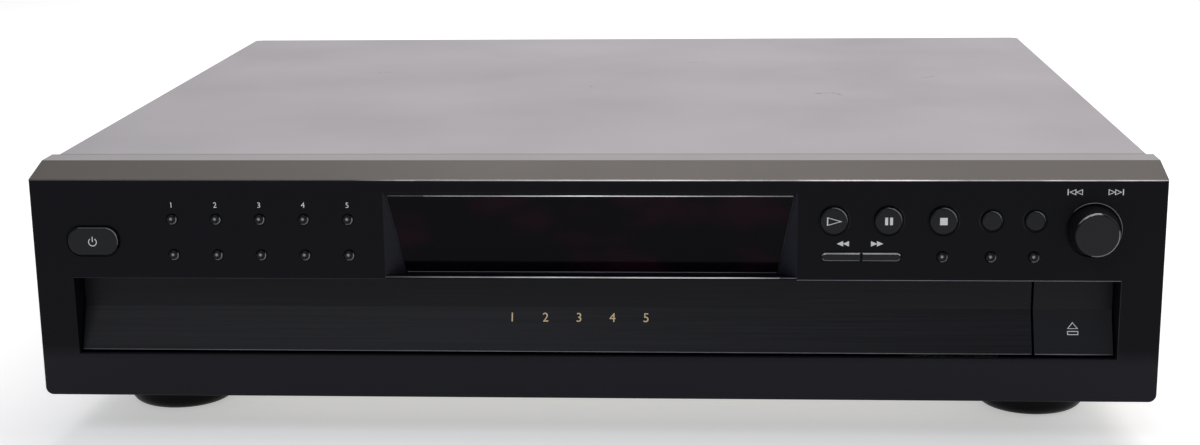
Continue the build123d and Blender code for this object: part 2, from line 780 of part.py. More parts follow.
# Tray: floor, side walls, hub post, slide ring, rack and the bracket of the carousel motor.
tray_wall = 2.0
ring_radius = 140.0
ring_wall = 2.4
ring_clear = 0.3
slot_half_width = 46.0      # opening in the tray floor for the optical unit
slot_front = unit_front - 4.0
rack_height = 3.8
rack_teeth = 80
rack_body = 3.0
rack_start_y = -158.0
mesh_y = -150.0             # the loading pinion meets the rack here
rack_pitch = pi * fine_module
rack_first_gap = mesh_y - rack_pitch * round((mesh_y - rack_start_y) / rack_pitch)
tray_left = mech_x - tray_half_width
tray_right = mech_x + tray_half_width
with BuildPart() as tray:
    with BuildSketch(level(tray_floor_z)):
        with Locations((mech_x, tray_front)):
            Rectangle(2 * tray_half_width, tray_rear - tray_front, align=(Align.CENTER, Align.MIN))
        with Locations((mech_x, slot_front)):
            Rectangle(2 * slot_half_width, tray_rear, align=(Align.CENTER, Align.MIN), mode=Mode.SUBTRACT)
        with Locations((table_gear_x, table_gear_y)):
            Circle(table_shaft_radius + slip, mode=Mode.SUBTRACT)
    extrude(amount=tray_floor)
    with BuildSketch(level(tray_top)):
        for side in (-1, 1):
            wall_x = mech_x + side * (tray_half_width - tray_wall_inset - tray_wall / 2)
            with Locations((wall_x, tray_front)):
                Rectangle(tray_wall, tray_rear - tray_front, align=(Align.CENTER, Align.MIN))
        with Locations((mech_x, tray_front)):
            Rectangle(
                2 * (tray_half_width - tray_wall_inset), tray_wall, align=(Align.CENTER, Align.MIN)
            )
    extrude(amount=tray_wall_height)
    with BuildSketch(level(tray_top)):
        with Locations((mech_x, mech_y)):
            Circle(ring_radius + ring_wall / 2)
            Circle(ring_radius - ring_wall / 2, mode=Mode.SUBTRACT)
        with Locations((mech_x, slot_front)):
            Rectangle(2 * slot_half_width, tray_rear, align=(Align.CENTER, Align.MIN), mode=Mode.SUBTRACT)
    extrude(amount=carousel_z - ring_clear - tray_top)
    with BuildSketch(level(tray_top)):
        with Locations((mech_x, mech_y)):
            Circle(post_radius)
    extrude(amount=carousel_z + carousel_thickness + hub_height + 0.2 - tray_top)
    with BuildSketch(level(tray_floor_z - rack_height)):
        with BuildLine(Plane((mech_x + rack_x, rack_first_gap, tray_floor_z - rack_height))):
            Polyline(*rack_points(rack_teeth, fine_module, rack_body), close=True)
        make_face()
    extrude(amount=rack_height)
    # ring under the floor that holds the carousel motor, open where the belt leaves it
    with BuildSketch(level(motor_can_z + 2.0)):
        with Locations((table_motor_x, table_motor_y)):
            Circle(table_motor_radius + bracket_wall)
            Circle(table_motor_radius, mode=Mode.SUBTRACT)
    extrude(amount=tray_floor_z - motor_can_z - 2.0)
    with BuildSketch(level(belt_z - pulley_flange - 0.4)):
        with Locations(Location((table_motor_x, table_motor_y, 0), (0, 0, drive_angle + 180))):
            Rectangle(40.0, 2 * table_pulley_radius + 2.0, align=(Align.MIN, Align.CENTER))
    extrude(amount=belt_width + 2 * pulley_flange + 0.8, mode=Mode.SUBTRACT)
tray.part.label = "tray"
export_step(tray.part, "parts/tray.step")

# Screw and washer that keep the carousel on its post.
post_top = carousel_z + carousel_thickness + hub_height + 0.2
washer_radius = 9.0
with BuildPart() as hub_screw:
    with BuildSketch(level(post_top)):
        with Locations((mech_x, mech_y)):
            Circle(washer_radius)
    extrude(amount=1.0)
    with BuildSketch(level(post_top + 1.0)):
        with Locations((mech_x, mech_y)):
            Circle(screw_head)
    extrude(amount=1.6)
hub_screw.part.label = "hub_screw"
export_step(hub_screw.part, "parts/hub_screw.step")

# Carousel: five disc pockets, each with a well for small discs and an opening for the optical unit.
carousel_top = carousel_z + carousel_thickness
with BuildPart() as carousel:
    with BuildSketch(level(carousel_z)):
        with Locations((mech_x, mech_y)):
            Circle(carousel_radius)
    extrude(amount=carousel_thickness)
    fillet(carousel.edges().group_by(Axis.Z)[-1], 0.8)
    with BuildSketch(level(carousel_top)):
        with Locations((mech_x, mech_y)):
            Circle(hub_radius)
    extrude(amount=hub_height)
    with BuildSketch(level(carousel_top - pocket_depth)):
        with Locations((mech_x, mech_y)):
            with PolarLocations(pocket_pitch, places, start_angle=90):
                Circle(disc_radius + pocket_play)
    extrude(amount=pocket_depth, mode=Mode.SUBTRACT)
    with BuildSketch(level(carousel_top - pocket_depth - small_disc_depth)):
        with Locations((mech_x, mech_y)):
            with PolarLocations(pocket_pitch, places, start_angle=90):
                Circle(small_disc_radius + pocket_play)
    extrude(amount=pocket_depth, mode=Mode.SUBTRACT)
    with BuildSketch(level(carousel_z)):
        with Locations((mech_x, mech_y)):
            with PolarLocations(pocket_pitch, places, start_angle=90):
                Circle(slot_radius)
                Rectangle(
                    carousel_radius, 2 * slot_radius, align=(Align.MIN, Align.CENTER)
                )
    extrude(amount=carousel_thickness, mode=Mode.SUBTRACT)
    with BuildSketch(level(hub_gear_z)):
        with BuildLine(Plane((mech_x, mech_y, hub_gear_z))):
            Polyline(*wheel_points(hub_teeth, gear_module, drive_angle), close=True)
        make_face()
    extrude(amount=hub_gear_top - hub_gear_z)
    with BuildSketch(level(hub_gear_z)):
        with Locations((mech_x, mech_y)):
            Circle(post_radius + slip)
    extrude(amount=case_height - hub_gear_z, mode=Mode.SUBTRACT)
carousel.part.label = "carousel"
export_step(carousel.part, "parts/carousel.step")


def grooved_pulley(x, y, z, radius):
    """A flat-bottomed belt pulley: two flanges with the belt's seat between them."""
    flanged = radius + belt_thickness
    levels = (
        (z - pulley_flange, pulley_flange, flanged),
        (z, belt_width, radius),
        (z + belt_width, pulley_flange, flanged),
    )
    with BuildPart() as pulley:
        for start, height, reach in levels:
            with BuildSketch(level(start)):
                with Locations((x, y)):
                    Circle(reach)
            extrude(amount=height)
    return pulley.part


def belt_between(first, second, z):
    """A closed belt round two pulleys, each given as x, y and radius."""
    with BuildPart() as belt:
        for grow, mode in ((belt_thickness, Mode.ADD), (0.0, Mode.SUBTRACT)):
            with BuildSketch(level(z + slip)):
                for x, y, radius in (first, second):
                    with Locations((x, y)):
                        Circle(radius + slip + grow)
                make_hull()
            extrude(amount=belt_width - 2 * slip, mode=mode)
    return belt.part


# Table gear: drives the carousel's hub gear; its shaft carries a pulley under the tray.
with BuildPart() as table_gear:
    table_phase = drive_angle + 180 + 180 / table_teeth
    with BuildSketch(level(hub_gear_z)):
        with BuildLine(Plane((table_gear_x, table_gear_y, hub_gear_z))):
            Polyline(*wheel_points(table_teeth, gear_module, table_phase), close=True)
        make_face()
    extrude(amount=hub_gear_top - hub_gear_z - ring_clear)
    with BuildSketch(level(belt_z)):
        with Locations((table_gear_x, table_gear_y)):
            Circle(table_shaft_radius)
    extrude(amount=hub_gear_z - belt_z)
    add(grooved_pulley(table_gear_x, table_gear_y, belt_z, table_pulley_radius))
table_gear.part.label = "table_gear"
export_step(table_gear.part, "parts/table_gear.step")

# Carousel motor, its pulley and the belt.
motor_shaft_radius = 1.0
with BuildPart() as table_motor:
    with BuildSketch(level(motor_can_z)):
        with Locations((table_motor_x, table_motor_y)):
            Circle(table_motor_radius)
    can_top = belt_z - pulley_flange - 0.6
    extrude(amount=can_top - motor_can_z)
    fillet(table_motor.edges().group_by(Axis.Z)[0], 1.0)
    with BuildSketch(level(can_top)):
        with Locations((table_motor_x, table_motor_y)):
            Circle(motor_shaft_radius)
    extrude(amount=tray_floor_z - can_top - loose)
table_motor.part.label = "table_motor"
export_step(table_motor.part, "parts/table_motor.step")

with BuildPart() as table_motor_pulley:
    add(grooved_pulley(table_motor_x, table_motor_y, belt_z, motor_pulley_radius))
    with BuildSketch(level(belt_z - pulley_flange)):
        with Locations((table_motor_x, table_motor_y)):
            Circle(motor_shaft_radius + slip)
    extrude(amount=belt_width + 2 * pulley_flange, mode=Mode.SUBTRACT)
table_motor_pulley.part.label = "table_motor_pulley"
export_step(table_motor_pulley.part, "parts/table_motor_pulley.step")

with BuildPart() as table_belt:
    add(
        belt_between(
            (table_gear_x, table_gear_y, table_pulley_radius),
            (table_motor_x, table_motor_y, motor_pulley_radius),
            belt_z,
        )
    )
table_belt.part.label = "table_belt"
export_step(table_belt.part, "parts/table_belt.step")

# ---------------------------------------------------------------- deck and loading drive
deck_z = 25.0
deck_plate = 2.0
deck_top = deck_z + deck_plate
deck_wall = 2.5
deck_front = cover_front - 8.0
deck_rear = unit_rear + 5.0
deck_wall_top = 46.0
rail_thickness = 2.5
rail_reach = tray_wall_inset - 0.3
deck_left = tray_left - 2.0 - deck_wall
deck_right = tray_right + 2.0 + deck_wall
drive_x = mech_x + rack_x - pinion_teeth * fine_module / 2
drive_y = mesh_y
drive_wheel_z = 28.0
drive_wheel_height = 4.0
pulley_angle = 150.0
pulley_reach = (drive_teeth + pulley_teeth) * fine_module / 2
pulley_x = drive_x + pulley_reach * cos(radians(pulley_angle))
pulley_y = drive_y + pulley_reach * sin(radians(pulley_angle))
loading_pulley_radius = 10.0
loading_belt_z = 34.0
loading_motor_x = pulley_x - 38.0
loading_motor_y = pulley_y
loading_motor_radius = 12.0
axle_radius = 2.0
cam_half_width = 61.5       # the lift cam's side plates, from the middle of the unit
cam_wall = 2.0
cam_travel = unit_lift * cam_ratio
window_half_width = cam_half_width + cam_wall / 2 + 1.0
window_front = unit_front - 8.0 - cam_travel - 2.0
with BuildPart() as deck_frame:
    with BuildSketch(level(deck_z)):
        with Locations((deck_left, deck_front)):
            Rectangle(deck_right - deck_left, deck_rear - deck_front, align=(Align.MIN, Align.MIN))
        with Locations((mech_x, window_front)):
            Rectangle(
                2 * window_half_width,
                unit_rear + 2.0 - window_front,
                align=(Align.CENTER, Align.MIN),
                mode=Mode.SUBTRACT,
            )
        with Locations((loading_motor_x, loading_motor_y)):
            Circle(loading_motor_radius + slip, mode=Mode.SUBTRACT)
    extrude(amount=deck_plate)
    with BuildSketch(level(deck_z)):
        for left in (deck_left, deck_right - deck_wall):
            with Locations((left, deck_front)):
                Rectangle(deck_wall, deck_rear - deck_front, align=(Align.MIN, Align.MIN))
    extrude(amount=deck_wall_top - deck_z)
    # rails: the tray's edges run between an under rib and an upper rib
    for rail_z in (tray_floor_z - ring_clear - rail_thickness, tray_top + ring_clear):
        with BuildSketch(level(rail_z)):
            with Locations((deck_left + deck_wall, deck_front)):
                Rectangle(2.0 + rail_reach, deck_rear - deck_front, align=(Align.MIN, Align.MIN))
            with Locations((deck_right - deck_wall, deck_front)):
                Rectangle(2.0 + rail_reach, deck_rear - deck_front, align=(Align.MAX, Align.MIN))
        extrude(amount=rail_thickness)
    # axles of the loading gears and stand-offs on the base
    with BuildSketch(level(deck_top)):
        with Locations((drive_x, drive_y), (pulley_x, pulley_y)):
            Circle(axle_radius)
    extrude(amount=tray_floor_z - 0.6 - deck_top)
    with BuildSketch(level(base_top)):
        for x in (deck_left + 12.0, mech_x - 80.0, mech_x + 80.0, deck_right - 12.0):
            with Locations((x, deck_front + 12.0), (x, deck_rear - 12.0)):
                Circle(4.0)
    extrude(amount=deck_z - base_top)
deck_frame.part.label = "deck_frame"
export_step(deck_frame.part, "parts/deck_frame.step")

# Loading motor with its pulley and belt.
with BuildPart() as loading_motor:
    with BuildSketch(level(base_top + loose)):
        with Locations((loading_motor_x, loading_motor_y)):
            Circle(loading_motor_radius)
    loading_can_top = loading_belt_z - pulley_flange - 0.6
    extrude(amount=loading_can_top - base_top - loose)
    fillet(loading_motor.edges().group_by(Axis.Z)[0], 1.0)
    with BuildSketch(level(loading_can_top)):
        with Locations((loading_motor_x, loading_motor_y)):
            Circle(motor_shaft_radius)
    extrude(amount=4.0)
loading_motor.part.label = "loading_motor"
export_step(loading_motor.part, "parts/loading_motor.step")

with BuildPart() as loading_motor_pulley:
    add(grooved_pulley(loading_motor_x, loading_motor_y, loading_belt_z, motor_pulley_radius))
    with BuildSketch(level(loading_belt_z - pulley_flange)):
        with Locations((loading_motor_x, loading_motor_y)):
            Circle(motor_shaft_radius + slip)
    extrude(amount=belt_width + 2 * pulley_flange, mode=Mode.SUBTRACT)
loading_motor_pulley.part.label = "loading_motor_pulley"
export_step(loading_motor_pulley.part, "parts/loading_motor_pulley.step")

with BuildPart() as loading_belt:
    add(
        belt_between(
            (pulley_x, pulley_y, loading_pulley_radius),
            (loading_motor_x, loading_motor_y, motor_pulley_radius),
            loading_belt_z,
        )
    )
loading_belt.part.label = "loading_belt"
export_step(loading_belt.part, "parts/loading_belt.step")

# Pulley gear: the belt's large pulley over a small pinion.
with BuildPart() as loading_pulley_gear:
    pulley_phase = pulley_angle + 180 + 180 / pulley_teeth
    with BuildSketch(level(drive_wheel_z)):
        with BuildLine(Plane((pulley_x, pulley_y, drive_wheel_z))):
            Polyline(*wheel_points(pulley_teeth, fine_module, pulley_phase), close=True)
        make_face()
    extrude(amount=loading_belt_z - drive_wheel_z)
    add(grooved_pulley(pulley_x, pulley_y, loading_belt_z, loading_pulley_radius))
    with BuildSketch(level(drive_wheel_z)):
        with Locations((pulley_x, pulley_y)):
            Circle(axle_radius + slip)
    extrude(amount=tray_floor_z - drive_wheel_z, mode=Mode.SUBTRACT)
loading_pulley_gear.part.label = "loading_pulley_gear"
export_step(loading_pulley_gear.part, "parts/loading_pulley_gear.step")

# Drive gear: a large wheel with the pinion that moves the tray's rack.
with BuildPart() as loading_drive_gear:
    with BuildSketch(level(drive_wheel_z)):
        with BuildLine(Plane((drive_x, drive_y, drive_wheel_z))):
            Polyline(*wheel_points(drive_teeth, fine_module, pulley_angle), close=True)
        make_face()
    extrude(amount=drive_wheel_height)
    with BuildSketch(level(drive_wheel_z + drive_wheel_height)):
        with BuildLine(Plane((drive_x, drive_y, drive_wheel_z + drive_wheel_height))):
            Polyline(*wheel_points(pinion_teeth, fine_module, 0), close=True)
        make_face()
    extrude(amount=tray_floor_z - loose - drive_wheel_z - drive_wheel_height)
    with BuildSketch(level(drive_wheel_z)):
        with Locations((drive_x, drive_y)):
            Circle(axle_radius + slip)
    extrude(amount=tray_floor_z - drive_wheel_z, mode=Mode.SUBTRACT)
loading_drive_gear.part.label = "loading_drive_gear"
export_step(loading_drive_gear.part, "parts/loading_drive_gear.step")

# ---------------------------------------------------------------- optical unit
# Holder: a frame that rides up on two posts, with four pins in the slots of the lift cam.
holder_z = 24.8
holder_height = 4.0
holder_half_width = 58.0
pin_radius = 1.5
pin_z = holder_z + holder_height / 2
pin_y = (unit_front + 18.0, unit_rear - 26.0)
with BuildPart() as unit_holder:
    with BuildSketch(level(holder_z)):
        with Locations((mech_x, unit_front)):
            Rectangle(2 * holder_half_width, unit_rear - unit_front, align=(Align.CENTER, Align.MIN))
        with Locations((mech_x, unit_front + 14.0)):
            Rectangle(
                84.0, unit_rear - unit_front - 30.0, align=(Align.CENTER, Align.MIN), mode=Mode.SUBTRACT
            )
        with Locations(*[(mech_x + side * guide_post_x, guide_post_y) for side in (-1, 1)]):
            Circle(guide_post_radius + slip, mode=Mode.SUBTRACT)
    extrude(amount=holder_height)
    with BuildSketch(side_plane(mech_x - cam_half_width - cam_wall / 2)):
        with Locations(*[(y, pin_z) for y in pin_y]):
            Circle(pin_radius)
    extrude(amount=cam_half_width + cam_wall / 2 - holder_half_width)
    with BuildSketch(side_plane(mech_x + holder_half_width)):
        with Locations(*[(y, pin_z) for y in pin_y]):
            Circle(pin_radius)
    extrude(amount=cam_half_width + cam_wall / 2 - holder_half_width)
unit_holder.part.label = "unit_holder"
export_step(unit_holder.part, "parts/unit_holder.step")

# Lift cam: a U-shaped slider with four sloping slots; sliding forward it raises the holder.
cam_z = base_top + 0.6
cam_top = guide_post_top
slot_play = 0.15
with BuildPart() as lift_cam:
    cam_front = unit_front - 8.0
    cam_rear = unit_rear
    with BuildSketch(level(cam_z)):
        with Locations((mech_x, cam_front)):
            Rectangle(2 * cam_half_width + cam_wall, 3.0, align=(Align.CENTER, Align.MIN))
        for side in (-1, 1):
            with Locations((mech_x + side * cam_half_width, cam_front)):
                Rectangle(cam_wall, cam_rear - cam_front, align=(Align.CENTER, Align.MIN))
    extrude(amount=3.0)
    with BuildSketch(level(cam_z)):
        for side in (-1, 1):
            with Locations((mech_x + side * cam_half_width, pin_y[0] - 6.0)):
                Rectangle(cam_wall, cam_rear - pin_y[0] + 6.0, align=(Align.CENTER, Align.MIN))
    extrude(amount=cam_top - cam_z)
    with BuildSketch(side_plane(mech_x - cam_half_width - cam_wall)):
        for y in pin_y:
            with Locations((y + cam_travel / 2, pin_z + unit_lift / 2)):
                SlotCenterToCenter(
                    hypot(cam_travel, unit_lift),
                    2 * (pin_radius + slot_play),
                    rotation=degrees(atan2(unit_lift, cam_travel)),
                )
    extrude(amount=2 * cam_half_width + 2 * cam_wall, mode=Mode.SUBTRACT)
lift_cam.part.label = "lift_cam"
export_step(lift_cam.part, "parts/lift_cam.step")

# Optical base: a steel plate on four rubber mounts, with the two guide rods of the pickup.
plate_z = 35.1
plate_thickness = 1.2
plate_top = plate_z + plate_thickness
plate_half_width = 32.0
rod_x = 20.0
rod_z = 38.6
rod_radius = 1.5
tab_thickness = 1.5
pickup_half = 8.0
lens_y = spindle_y + sled_start
rod_front = lens_y - pickup_half - 1.0 - tab_thickness
rod_rear = lens_y + sled_travel + pickup_half + 1.0
mount_radius = 4.5
mount_places = [
    (mech_x + side * 26.5, y) for side in (-1, 1) for y in (unit_front + 7.0, unit_rear - 8.0)
]
sled_gear_x = mech_x - 18.0 - sled_teeth * fine_module / 2
sled_gear_y = lens_y + 8.0
sled_gear_z = 31.5
sled_gear_height = 3.0
ear_reach = 11.5
with BuildPart() as optical_base:
    with BuildSketch(level(plate_z)):
        with Locations((mech_x, unit_front + 2.0)):
            Rectangle(2 * plate_half_width, unit_rear - unit_front - 3.0, align=(Align.CENTER, Align.MIN))
        with Locations((sled_gear_x, sled_gear_y)):
            Rectangle(19.0, 2 * ear_reach + 6.0)
        window_length = sled_travel + 2 * pickup_half + 1.0
        with Locations((mech_x, lens_y - pickup_half - 0.5)):
            Rectangle(32.0, window_length, align=(Align.CENTER, Align.MIN), mode=Mode.SUBTRACT)
        with Locations((mech_x, spindle_y)):
            Circle(2.5, mode=Mode.SUBTRACT)
    extrude(amount=plate_thickness)
    for y in (rod_front, rod_rear):
        with BuildSketch(front_plane(y + tab_thickness)):
            for side in (-1, 1):
                with Locations((mech_x + side * rod_x, plate_top)):
                    Rectangle(5.0, 4.6, align=(Align.CENTER, Align.MIN))
        extrude(amount=tab_thickness)
    with BuildSketch(level(sled_gear_z - 0.5)):
        with Locations((sled_gear_x, sled_gear_y - ear_reach), (sled_gear_x, sled_gear_y + ear_reach)):
            Circle(1.5)
    extrude(amount=plate_z - sled_gear_z + 0.5)
    with BuildSketch(front_plane(rod_rear + tab_thickness)):
        with Locations(*[(mech_x + side * rod_x, rod_z) for side in (-1, 1)]):
            Circle(rod_radius)
    extrude(amount=rod_rear - rod_front + tab_thickness)
    with BuildSketch(level(holder_z + holder_height)):
        with Locations(*mount_places):
            Circle(mount_radius)
    extrude(amount=plate_z - holder_z - holder_height)
optical_base.part.label = "optical_base"
export_step(optical_base.part, "parts/optical_base.step")

# Spindle motor and sled motor.
spindle_shaft_radius = 1.0
spindle_motor_radius = 11.0
seat_underside = seat_z - 2.0
with BuildPart() as unit_motors:
    with BuildSketch(level(holder_z + 0.7)):
        with Locations((mech_x, spindle_y)):
            Circle(spindle_motor_radius)
    extrude(amount=plate_z - holder_z - 0.7)
    with BuildSketch(level(plate_z)):
        with Locations((mech_x, spindle_y)):
            Circle(spindle_shaft_radius)
    extrude(amount=seat_z - plate_z)
    with BuildSketch(level(holder_z + 0.7)):
        with Locations((sled_gear_x, sled_gear_y)):
            Circle(8.0)
    extrude(amount=sled_gear_z - 1.5 - holder_z - 0.7)
    with BuildSketch(level(sled_gear_z - 1.5)):
        with Locations((sled_gear_x, sled_gear_y)):
            Rectangle(8.0, 2 * ear_reach + 4.0)
    extrude(amount=1.0)
    with BuildSketch(level(sled_gear_z - 0.5)):
        with Locations((sled_gear_x, sled_gear_y)):
            Circle(1.0)
    extrude(amount=sled_gear_height + 0.4)
unit_motors.part.label = "unit_motors"
export_step(unit_motors.part, "parts/unit_motors.step")

# Turntable: a small plate with a centring cone, on the spindle motor's shaft.
with BuildPart() as turntable:
    with BuildSketch(level(plate_top + 0.8)):
        with Locations((mech_x, spindle_y)):
            Circle(6.0)
    extrude(amount=seat_underside - plate_top - 0.8)
    with BuildSketch(level(seat_underside)):
        with Locations((mech_x, spindle_y)):
            Circle(turntable_radius)
    extrude(amount=seat_z - seat_underside)
    with BuildSketch(level(seat_z)):
        with Locations((mech_x, spindle_y)):
            Circle(cone_radius)
    extrude(amount=cone_height, taper=20)
    with BuildSketch(level(plate_top)):
        with Locations((mech_x, spindle_y)):
            Circle(spindle_shaft_radius + slip)
    extrude(amount=seat_z + slip - plate_top, mode=Mode.SUBTRACT)
turntable.part.label = "turntable"
export_step(turntable.part, "parts/turntable.step")

# Pickup: rides on the two rods, with the lens on top and a rack down its left side.
lens_top = seat_z - 1.8
with BuildPart() as pickup:
    with BuildSketch(level(30.0)):
        with Locations((mech_x, lens_y)):
            Rectangle(28.0, 2 * pickup_half)
    extrude(amount=40.4 - 30.0)
    with BuildSketch(level(plate_top + 0.4)):
        with Locations((mech_x, lens_y)):
            Rectangle(2 * rod_x + 6.0, 2 * pickup_half - 4.0)
    extrude(amount=40.4 - plate_top - 0.4)
    with BuildSketch(level(40.4)):
        with Locations((mech_x, lens_y)):
            Rectangle(15.0, 13.0)
    extrude(amount=lens_top - 1.0 - 40.4)
    with BuildSketch(level(lens_top - 1.0)):
        with Locations((mech_x, lens_y)):
            Circle(3.2)
    extrude(amount=1.0)
    sled_pitch = pi * fine_module
    sled_count = 13
    sled_first_gap = sled_gear_y - 11 * sled_pitch
    with BuildSketch(level(sled_gear_z + 0.2)):
        with BuildLine(Plane((mech_x - 18.0, sled_first_gap, sled_gear_z + 0.2))):
            Polyline(*rack_points(sled_count, fine_module, 3.0), close=True)
        make_face()
    extrude(amount=sled_gear_height - 0.4)
    with BuildSketch(front_plane(lens_y + pickup_half)):
        with Locations(*[(mech_x + side * rod_x, rod_z) for side in (-1, 1)]):
            Circle(rod_radius + slip)
    extrude(amount=2 * pickup_half, mode=Mode.SUBTRACT)
pickup.part.label = "pickup"
export_step(pickup.part, "parts/pickup.step")

# Sled gear: on the sled motor's shaft, in mesh with the pickup's rack.
with BuildPart() as sled_gear:
    with BuildSketch(level(sled_gear_z)):
        with BuildLine(Plane((sled_gear_x, sled_gear_y, sled_gear_z))):
            Polyline(*wheel_points(sled_teeth, fine_module, 0), close=True)
        make_face()
    extrude(amount=sled_gear_height)
    with BuildSketch(level(sled_gear_z)):
        with Locations((sled_gear_x, sled_gear_y)):
            Circle(1.0 + slip)
    extrude(amount=sled_gear_height, mode=Mode.SUBTRACT)
sled_gear.part.label = "sled_gear"
export_step(sled_gear.part, "parts/sled_gear.step")

# Clamper bridge: a steel strip across the tray, on legs that stand on the deck's side walls.
bridge_z = 60.0
bridge_thickness = 1.2
bridge_width = 34.0
bridge_hole_radius = 10.0
with BuildPart() as clamper_bridge:
    with BuildSketch(level(bridge_z)):
        with Locations((deck_left, spindle_y)):
            Rectangle(deck_right - deck_left, bridge_width, align=(Align.MIN, Align.CENTER))
        with Locations((mech_x, spindle_y)):
            Circle(bridge_hole_radius, mode=Mode.SUBTRACT)
    extrude(amount=bridge_thickness)
    with BuildSketch(level(deck_wall_top)):
        for left in (deck_left, deck_right - bridge_thickness):
            with Locations((left, spindle_y)):
                Rectangle(bridge_thickness, bridge_width, align=(Align.MIN, Align.CENTER))
    extrude(amount=bridge_z - deck_wall_top)
clamper_bridge.part.label = "clamper_bridge"
export_step(clamper_bridge.part, "parts/clamper_bridge.step")

# Clamper: a spool-shaped puck that hangs in the bridge over the turntable.
clamper_bottom = seat_z + unit_lift + 2.3
with BuildPart() as clamper:
    with BuildSketch(level(clamper_bottom)):
        with Locations((mech_x, spindle_y)):
            Circle(turntable_radius)
    extrude(amount=2.6)
    with BuildSketch(level(clamper_bottom + 2.6)):
        with Locations((mech_x, spindle_y)):
            Circle(bridge_hole_radius - 1.0)
    extrude(amount=bridge_z + bridge_thickness + loose - clamper_bottom - 2.6)
    with BuildSketch(level(bridge_z + bridge_thickness + loose)):
        with Locations((mech_x, spindle_y)):
            Circle(bridge_hole_radius + 3.0)
    extrude(amount=2.4)
    with BuildSketch(level(clamper_bottom)):
        with Locations((mech_x, spindle_y)):
            Circle(cone_radius + 0.5)
    extrude(amount=cone_height, mode=Mode.SUBTRACT)
clamper.part.label = "clamper"
export_step(clamper.part, "parts/clamper.step")

# ---------------------------------------------------------------- electronics at the rear
# Jack block: two line jacks and a square optical outlet on one moulded plate.
with BuildPart() as output_jacks:
    with BuildSketch(front_plane(rear_y + 1.0)):
        with Locations((jack_x, jack_z)):
            Rectangle(jack_plate_width, jack_plate_height)
    extrude(amount=13.0)
    jack_places = [(jack_x - 18.0, jack_z), (jack_x - 18.0 + jack_pitch, jack_z)]
    with BuildSketch(front_plane(rear_y + jack_reach)):
        with Locations(*jack_places):
            Circle(jack_radius)
    extrude(amount=jack_reach - 1.0)
    with BuildSketch(front_plane(rear_y + jack_reach)):
        with Locations(*jack_places):
            Circle(1.6)
    extrude(amount=8.0, mode=Mode.SUBTRACT)
    with BuildSketch(front_plane(rear_y + 3.0)):
        with Locations((jack_x + 18.0, jack_z)):
            Rectangle(11.0, 11.0)
    extrude(amount=2.0)
output_jacks.part.label = "output_jacks"
export_step(output_jacks.part, "parts/output_jacks.step")

# Gland: a flanged bush in the rear panel for the mains lead.
with BuildPart() as cord_gland:
    with BuildSketch(front_plane(rear_y + 3.0)):
        with Locations((gland_x, gland_z)):
            Circle(gland_radius + 2.0)
    extrude(amount=3.0)
    with BuildSketch(front_plane(rear_y)):
        with Locations((gland_x, gland_z)):
            Circle(gland_radius)
    extrude(amount=5.0)
    with BuildSketch(front_plane(rear_y + 3.0)):
        with Locations((gland_x, gland_z)):
            Circle(3.1)
    extrude(amount=8.0, mode=Mode.SUBTRACT)
cord_gland.part.label = "cord_gland"
export_step(cord_gland.part, "parts/cord_gland.step")

# Mains transformer: a laminated core with its winding, in the channel beside the deck.
channel_x = (deck_right + base_half_width) / 2
transformer_y = 110.0
with BuildPart() as power_transformer:
    with BuildSketch(level(base_top)):
        with Locations((channel_x, transformer_y)):
            Rectangle(34.0, 52.0)
    extrude(amount=1.2)
    with BuildSketch(level(base_top + 1.2)):
        with Locations((channel_x, transformer_y)):
            Rectangle(18.0, 42.0)
    extrude(amount=36.0)
    with BuildSketch(level(base_top + 8.0)):
        with Locations((channel_x, transformer_y)):
            Rectangle(25.0, 28.0)
    extrude(amount=22.0)
power_transformer.part.label = "power_transformer"
export_step(power_transformer.part, "parts/power_transformer.step")

# Main board: a long board in the same channel, with capacitors, chips and a heat sink.
board_length = 190.0
main_board_y = -110.0
stand_height = 5.0
with BuildPart() as main_board:
    with BuildSketch(level(base_top + stand_height)):
        with Locations((channel_x, main_board_y)):
            Rectangle(34.0, board_length, align=(Align.CENTER, Align.MIN))
    extrude(amount=board_thickness)
    board_face = base_top + stand_height + board_thickness
    with BuildSketch(level(base_top)):
        for x in (channel_x - 13.0, channel_x + 13.0):
            with Locations((x, main_board_y + 8.0), (x, main_board_y + board_length - 8.0)):
                Circle(2.0)
    extrude(amount=stand_height)
    with BuildSketch(level(board_face)):
        with Locations((channel_x + 6.0, 62.0), (channel_x - 8.0, 62.0)):
            Circle(6.0)
    extrude(amount=24.0)
    with BuildSketch(level(board_face)):
        with Locations((channel_x, 38.0)):
            Rectangle(24.0, 6.0)
    extrude(amount=30.0)
    with BuildSketch(level(board_face)):
        with Locations((channel_x, 0.0)):
            Rectangle(18.0, 18.0)
        with Locations((channel_x, -45.0)):
            Rectangle(14.0, 20.0)
        with Locations((channel_x, -85.0)):
            Rectangle(22.0, 6.0)
    extrude(amount=3.0)
main_board.part.label = "main_board"
export_step(main_board.part, "parts/main_board.step")
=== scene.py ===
from math import atan2, cos, degrees, hypot, pi, radians, sin

import bpy
from mathutils import Matrix, Vector


